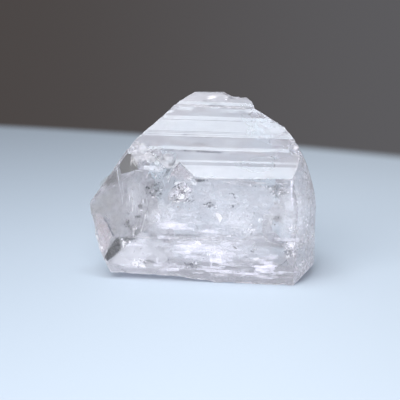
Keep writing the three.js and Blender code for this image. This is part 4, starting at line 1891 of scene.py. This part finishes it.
        # painted shade: the dark room seen through a break at the lower left
        wedge = ((-13.7, 2.9), (-13.2, 2.5), (-12.3, 3.2), (-11.2, 4.3), (-11.3, 5.1), (-11.7, 6.0),
                 (-12.2, 5.6), (-12.9, 4.5))
        tip = ((-13.7, 2.9), (-13.2, 2.5), (-12.5, 3.1), (-12.9, 3.8), (-13.1, 4.2))
        panels = (
            Panel(wedge, 0.08, 0.96),
            Panel(tip, 0.16, 0.85),
            Panel(((-12.2, 5.4), (-11.7, 6.0), (-11.3, 5.6), (-11.8, 4.9)), 0.14, 0.4),
            # painted shadow just under the top edge of the front face
            Panel(((-0.6, 14.85), (1.0, 14.85), (0.9, 14.6), (0.2, 14.4), (-0.3, 14.45)), 0.35, 0.5),
            Panel(((-5.6, 6.85), (0.6, 6.95), (0.2, 6.65), (-4.6, 6.4)), 0.5, 0.2),
            Panel(((9.3, 14.3), (12.4, 14.3), (12.4, 13.9), (9.4, 13.8)), 0.4, 0.18),
            Panel(((-4.6, 15.9), (-4.1, 15.9), (-4.7, 15.0), (-5.3, 14.6)), 0.4, 0.35),
        )
        for panel in panels:
            maker.panel(panel)
        for row in (
            (-6.4, 12.9, (1.5, 1.3), 0.2, 0.8, 0.7),
            (-7.0, 12.3, (1.0, 0.3), 0.25, 0.6, 0.6),
            (-5.7, 13.5, (0.9, 0.25), 0.22, 0.5, 0.9),
            (-10.4, 8.0, (0.35, 0.5), 0.8, 0.6),
            (-10.1, 7.5, (0.3, 0.3), 0.7, 0.5),
            (-8.5, 10.4, (0.4, 0.35), 0.7, 0.6, 0.8),
            (-8.8, 9.0, (0.45, 0.2), 0.6, 0.5),
            (-9.2, 6.6, (0.5, 0.2), 0.5, 0.5),
            (1.8, 11.1, (0.6, 0.3), 0.4, 0.5),
            (-0.3, 19.1, (1.5, 0.3), 0.3, 0.3),
            (-0.2, 23.3, (1.2, 0.14), 0.4, 0.3, -0.1),
            (0.9, 19.95, (0.7, 0.12), 0.45, 0.3),
            (-0.3, 24.6, (0.8, 0.1), 0.5, 0.25),
            (-6.4, 17.1, (1.2, 0.6), 0.5, 0.4),
            (-3.9, 16.4, (0.8, 0.6), 0.35, 0.3),
            (-10.2, 5.9, (1.3, 0.3), 0.4, 0.3),
            (-9.0, 6.8, (1.4, 0.8), 0.25, 0.5, 0.5),
            (-6.7, 2.6, (1.1, 0.14), 0.5, 0.3, -0.2),
            (-2.7, 11.9, (1.4, 0.9), 0.22, 0.8),
            (11.2, 13.4, (1.6, 0.9), 0.22, 0.8),
            (13.2, 5.0, (1.0, 1.0), 0.25, 0.6),
            (-1.3, 2.3, (0.9, 0.4), 0.3, 0.5),
        ):
            maker.smudge(*row)
        finish = Wisp("smoke_and_painted_shade", (0.10, 0.105, 0.115), 0.0, 2.6, (1.0, 1.0, 1.0), 0.45)
        return maker.piece("smoke_and_painted_shade_patches", finish.material())

    def _rosy(self) -> bpy.types.Object:
        """Builds pale, faintly rosy patches: a scooped chip, a small corner facet, and the front below it.

        Returns:
            The finished piece.
        """
        maker = FlawMaker(self.solid, self.rosy_seed)
        panels = (
            Panel(((-15.5, 8.9), (-14.7, 9.0), (-13.9, 8.1), (-13.2, 7.2), (-12.6, 6.1), (-12.9, 5.0),
                   (-13.6, 3.6), (-14.2, 3.8), (-14.8, 5.3), (-15.1, 6.4), (-15.4, 7.8)), 0.22, 0.44),
            Panel(((-14.5, 7.9), (-13.9, 7.3), (-13.5, 6.3), (-13.8, 5.2), (-14.2, 6.2)), 0.3, 0.2),
            Panel(((-3.5, 16.6), (-2.4, 16.2), (-0.8, 14.9), (-1.6, 14.3), (-3.2, 14.6),
                   (-4.2, 15.4)), 0.3, 0.35),
            Panel(((-4.3, 13.0), (-2.6, 13.9), (-0.6, 13.6), (-1.6, 12.0), (-3.4, 10.9),
                   (-4.4, 11.6)), 0.5, 0.25),
        )
        for panel in panels:
            maker.panel(panel)
        # painted light: the rosy patches shine faintly with no lamp
        finish = Wisp("rosy", (0.73, 0.66, 0.70), 0.17, 2.0, (1.0, 1.0, 1.0), 0.45)
        return maker.piece("rosy_patches", finish.material())

    def _painted_dark_view(self) -> bpy.types.Object:
        """Builds faintly warm, dark patches high on the pointed end, a chip and the facet beside it: painted
        shade, standing for the dark, brownish room seen through the clear crystal there.

        Returns:
            The finished piece.
        """
        maker = FlawMaker(self.solid, self.dark_view_seed)
        chip = ((-10.9, 17.6), (-10.2, 17.6), (-9.3, 16.4), (-9.1, 15.6), (-10.0, 15.2), (-11.6, 14.7),
                (-12.0, 16.0))
        maker.panel(Panel(chip, 0.3, 0.75))
        maker.smudge(-13.0, 13.9, (2.4, 1.0), 0.5, 0.9, 0.8)
        # painted shade: a dark, warm grey for the room seen through the crystal
        finish = Wisp("painted_dark_view", (0.34, 0.32, 0.31), 0.0, 0.6, (1.0, 1.0, 1.0), 0.9)
        return maker.piece("painted_dark_view_patches", finish.material())


# ---------------------------------------------------------------------------------------- studio


@dataclass(frozen=True)
class Softbox:
    """A rectangular lamp: its middle, its width and height in millimetres, and the way it faces.

    A tilt of 0 faces straight down; a positive one turns it to face +Y. The turn is about Z.
    """

    name: str
    place: Triple
    size: Pair
    tilt: float
    turn: float
    radiance: float
    colour: Triple

    def build(self) -> None:
        """Hangs the lamp."""
        lamp = bpy.data.lights.new(self.name, "AREA")
        lamp.shape = "RECTANGLE"
        lamp.size, lamp.size_y = self.size[0] * MM, self.size[1] * MM
        lamp.energy = LAMP_POWER * self.radiance * lamp.size * lamp.size_y
        lamp.color = self.colour
        holder = bpy.data.objects.new(self.name, lamp)
        holder.location = Vector(self.place) * MM
        holder.rotation_euler = (math.radians(self.tilt), 0.0, math.radians(self.turn))
        holder.visible_camera = False
        bpy.context.scene.collection.objects.link(holder)


@dataclass
class Studio:
    """A pale tabletop, soft lamps, a dim grey room and the camera."""

    camera_azimuth: float = 8.0
    camera_elevation: float = 12.0
    camera_distance: float = 178.0
    camera_field: float = 18.0
    aim_height: float = 12.0
    aim_shift: float = 0.337
    aim_depth: float = 0.02
    walls: Tuple[Triple, Triple] = ((0.072, 0.063, 0.061), (0.108, 0.106, 0.113))
    sides: Triple = (0.42, 0.43, 0.44)
    ceiling: Triple = (0.32, 0.33, 0.345)
    top_gap: float = 0.03
    top_radius: float = 420.0
    top_middle: Pair = (-142.7, -277.8)
    softboxes: Tuple[Softbox, ...] = (
        Softbox("overhead", (-22.0, -14.0, 205.0), (164.0, 84.0), 0.0, 0.0, 4.3, (0.83, 0.93, 1.0)),
        Softbox("front_fill", (-45.0, -195.0, 172.0), (260.0, 150.0), 50.0, -12.0, 4.2, (0.95, 0.975, 1.0)),
    )

    def build(self) -> None:
        """Builds everything round the crystal."""
        self._tabletop()
        self._room()
        for softbox in self.softboxes:
            softbox.build()
        self._camera()

    def _tabletop(self) -> None:
        """A round top of rings, just under the crystal."""
        rings, sectors = 24, 192
        points = [(0.0, 0.0, 0.0)]
        for ring in range(1, rings + 1):
            for sector in range(sectors):
                turn = 2 * math.pi * sector / sectors
                radius = self.top_radius * ring / rings
                points.append((radius * math.cos(turn), radius * math.sin(turn), 0.0))
        top = mesh_object("tabletop", np.array(points), disc_triangles(rings, sectors))
        low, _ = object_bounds()
        top.location = (self.top_middle[0] * MM, self.top_middle[1] * MM, low.z - self.top_gap * MM)
        top.data.materials.append(PaleTop(rim=self.top_radius, middle=self.top_middle[0]).material())
        top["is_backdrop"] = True

    def _room(self) -> None:
        """A dim, plain grey all round, a little browner to the left and paler overhead."""
        world = bpy.data.worlds.new("room")
        world.use_nodes = True
        book = ShaderBook(world.node_tree)
        way = book.node("ShaderNodeTexCoord", output="Generated")
        across = book.node("ShaderNodeSeparateXYZ", None, {0: way}, "X")
        upward = book.node("ShaderNodeSeparateXYZ", None, {0: way}, "Z")
        walls = book.blend(across.band(-0.32, 0.05), *self.walls)
        beside = (0.0 - across - 0.36).band(0.0, 0.2).larger((across - 0.1).band(0.0, 0.5) * 0.7)
        inputs = {0: beside, 6: walls, 7: (*self.sides, 1.0)}
        sides = book.node("ShaderNodeMix", {"data_type": "RGBA"}, inputs, 2)
        inputs = {0: upward.band(0.25, 0.75), 6: sides, 7: (*self.ceiling, 1.0)}
        colour = book.node("ShaderNodeMix", {"data_type": "RGBA"}, inputs, 2)
        light = book.node("ShaderNodeBackground", None, {"Color": colour, "Strength": 1.0})
        book.node("ShaderNodeOutputWorld", None, {"Surface": light})
        bpy.context.scene.world = world

    def _camera(self) -> None:
        """The camera, looking slightly down at the front face."""
        low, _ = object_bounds()
        aim = Vector((self.aim_shift * MM, low.y + self.aim_depth * MM, self.aim_height * MM))
        azimuth, elevation = math.radians(self.camera_azimuth), math.radians(self.camera_elevation)
        level = math.cos(elevation)
        back = Vector((math.sin(azimuth) * level, -math.cos(azimuth) * level, math.sin(elevation)))
        lens = bpy.data.cameras.new("camera")
        lens.sensor_width = 36.0
        lens.lens = lens.sensor_width / 2 / math.tan(math.radians(self.camera_field / 2))
        lens.clip_start, lens.clip_end = 0.005, 5.0
        camera = bpy.data.objects.new("camera", lens)
        camera.location = aim + back * self.camera_distance * MM
        camera.rotation_euler = (-back).to_track_quat("-Z", "Y").to_euler()
        bpy.context.scene.collection.objects.link(camera)
        bpy.context.scene.camera = camera


def set_light_paths() -> None:
    """Lets light pass through as many faces as clear crystal with things inside it needs."""
    scene = bpy.context.scene
    scene.cycles.max_bounces = LIGHT_BOUNCES
    scene.cycles.transmission_bounces = LIGHT_BOUNCES
    scene.cycles.glossy_bounces = GLOSSY_BOUNCES
    scene.cycles.transparent_max_bounces = LIGHT_BOUNCES
    scene.view_settings.view_transform = "Standard"


def main() -> None:
    """Builds the crystal and its surroundings, and reports each piece."""
    logging.basicConfig(level=logging.INFO, format="%(name)s: %(message)s")
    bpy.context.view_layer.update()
    Studio().build()
    solid = PackedSolid()
    for piece in (CrystalBody().build(solid), *Flaws(solid).build()):
        LOG.info("%s: %d triangles", piece.name, len(piece.data.polygons))
    set_light_paths()


if __name__ == "__main__":
    main()
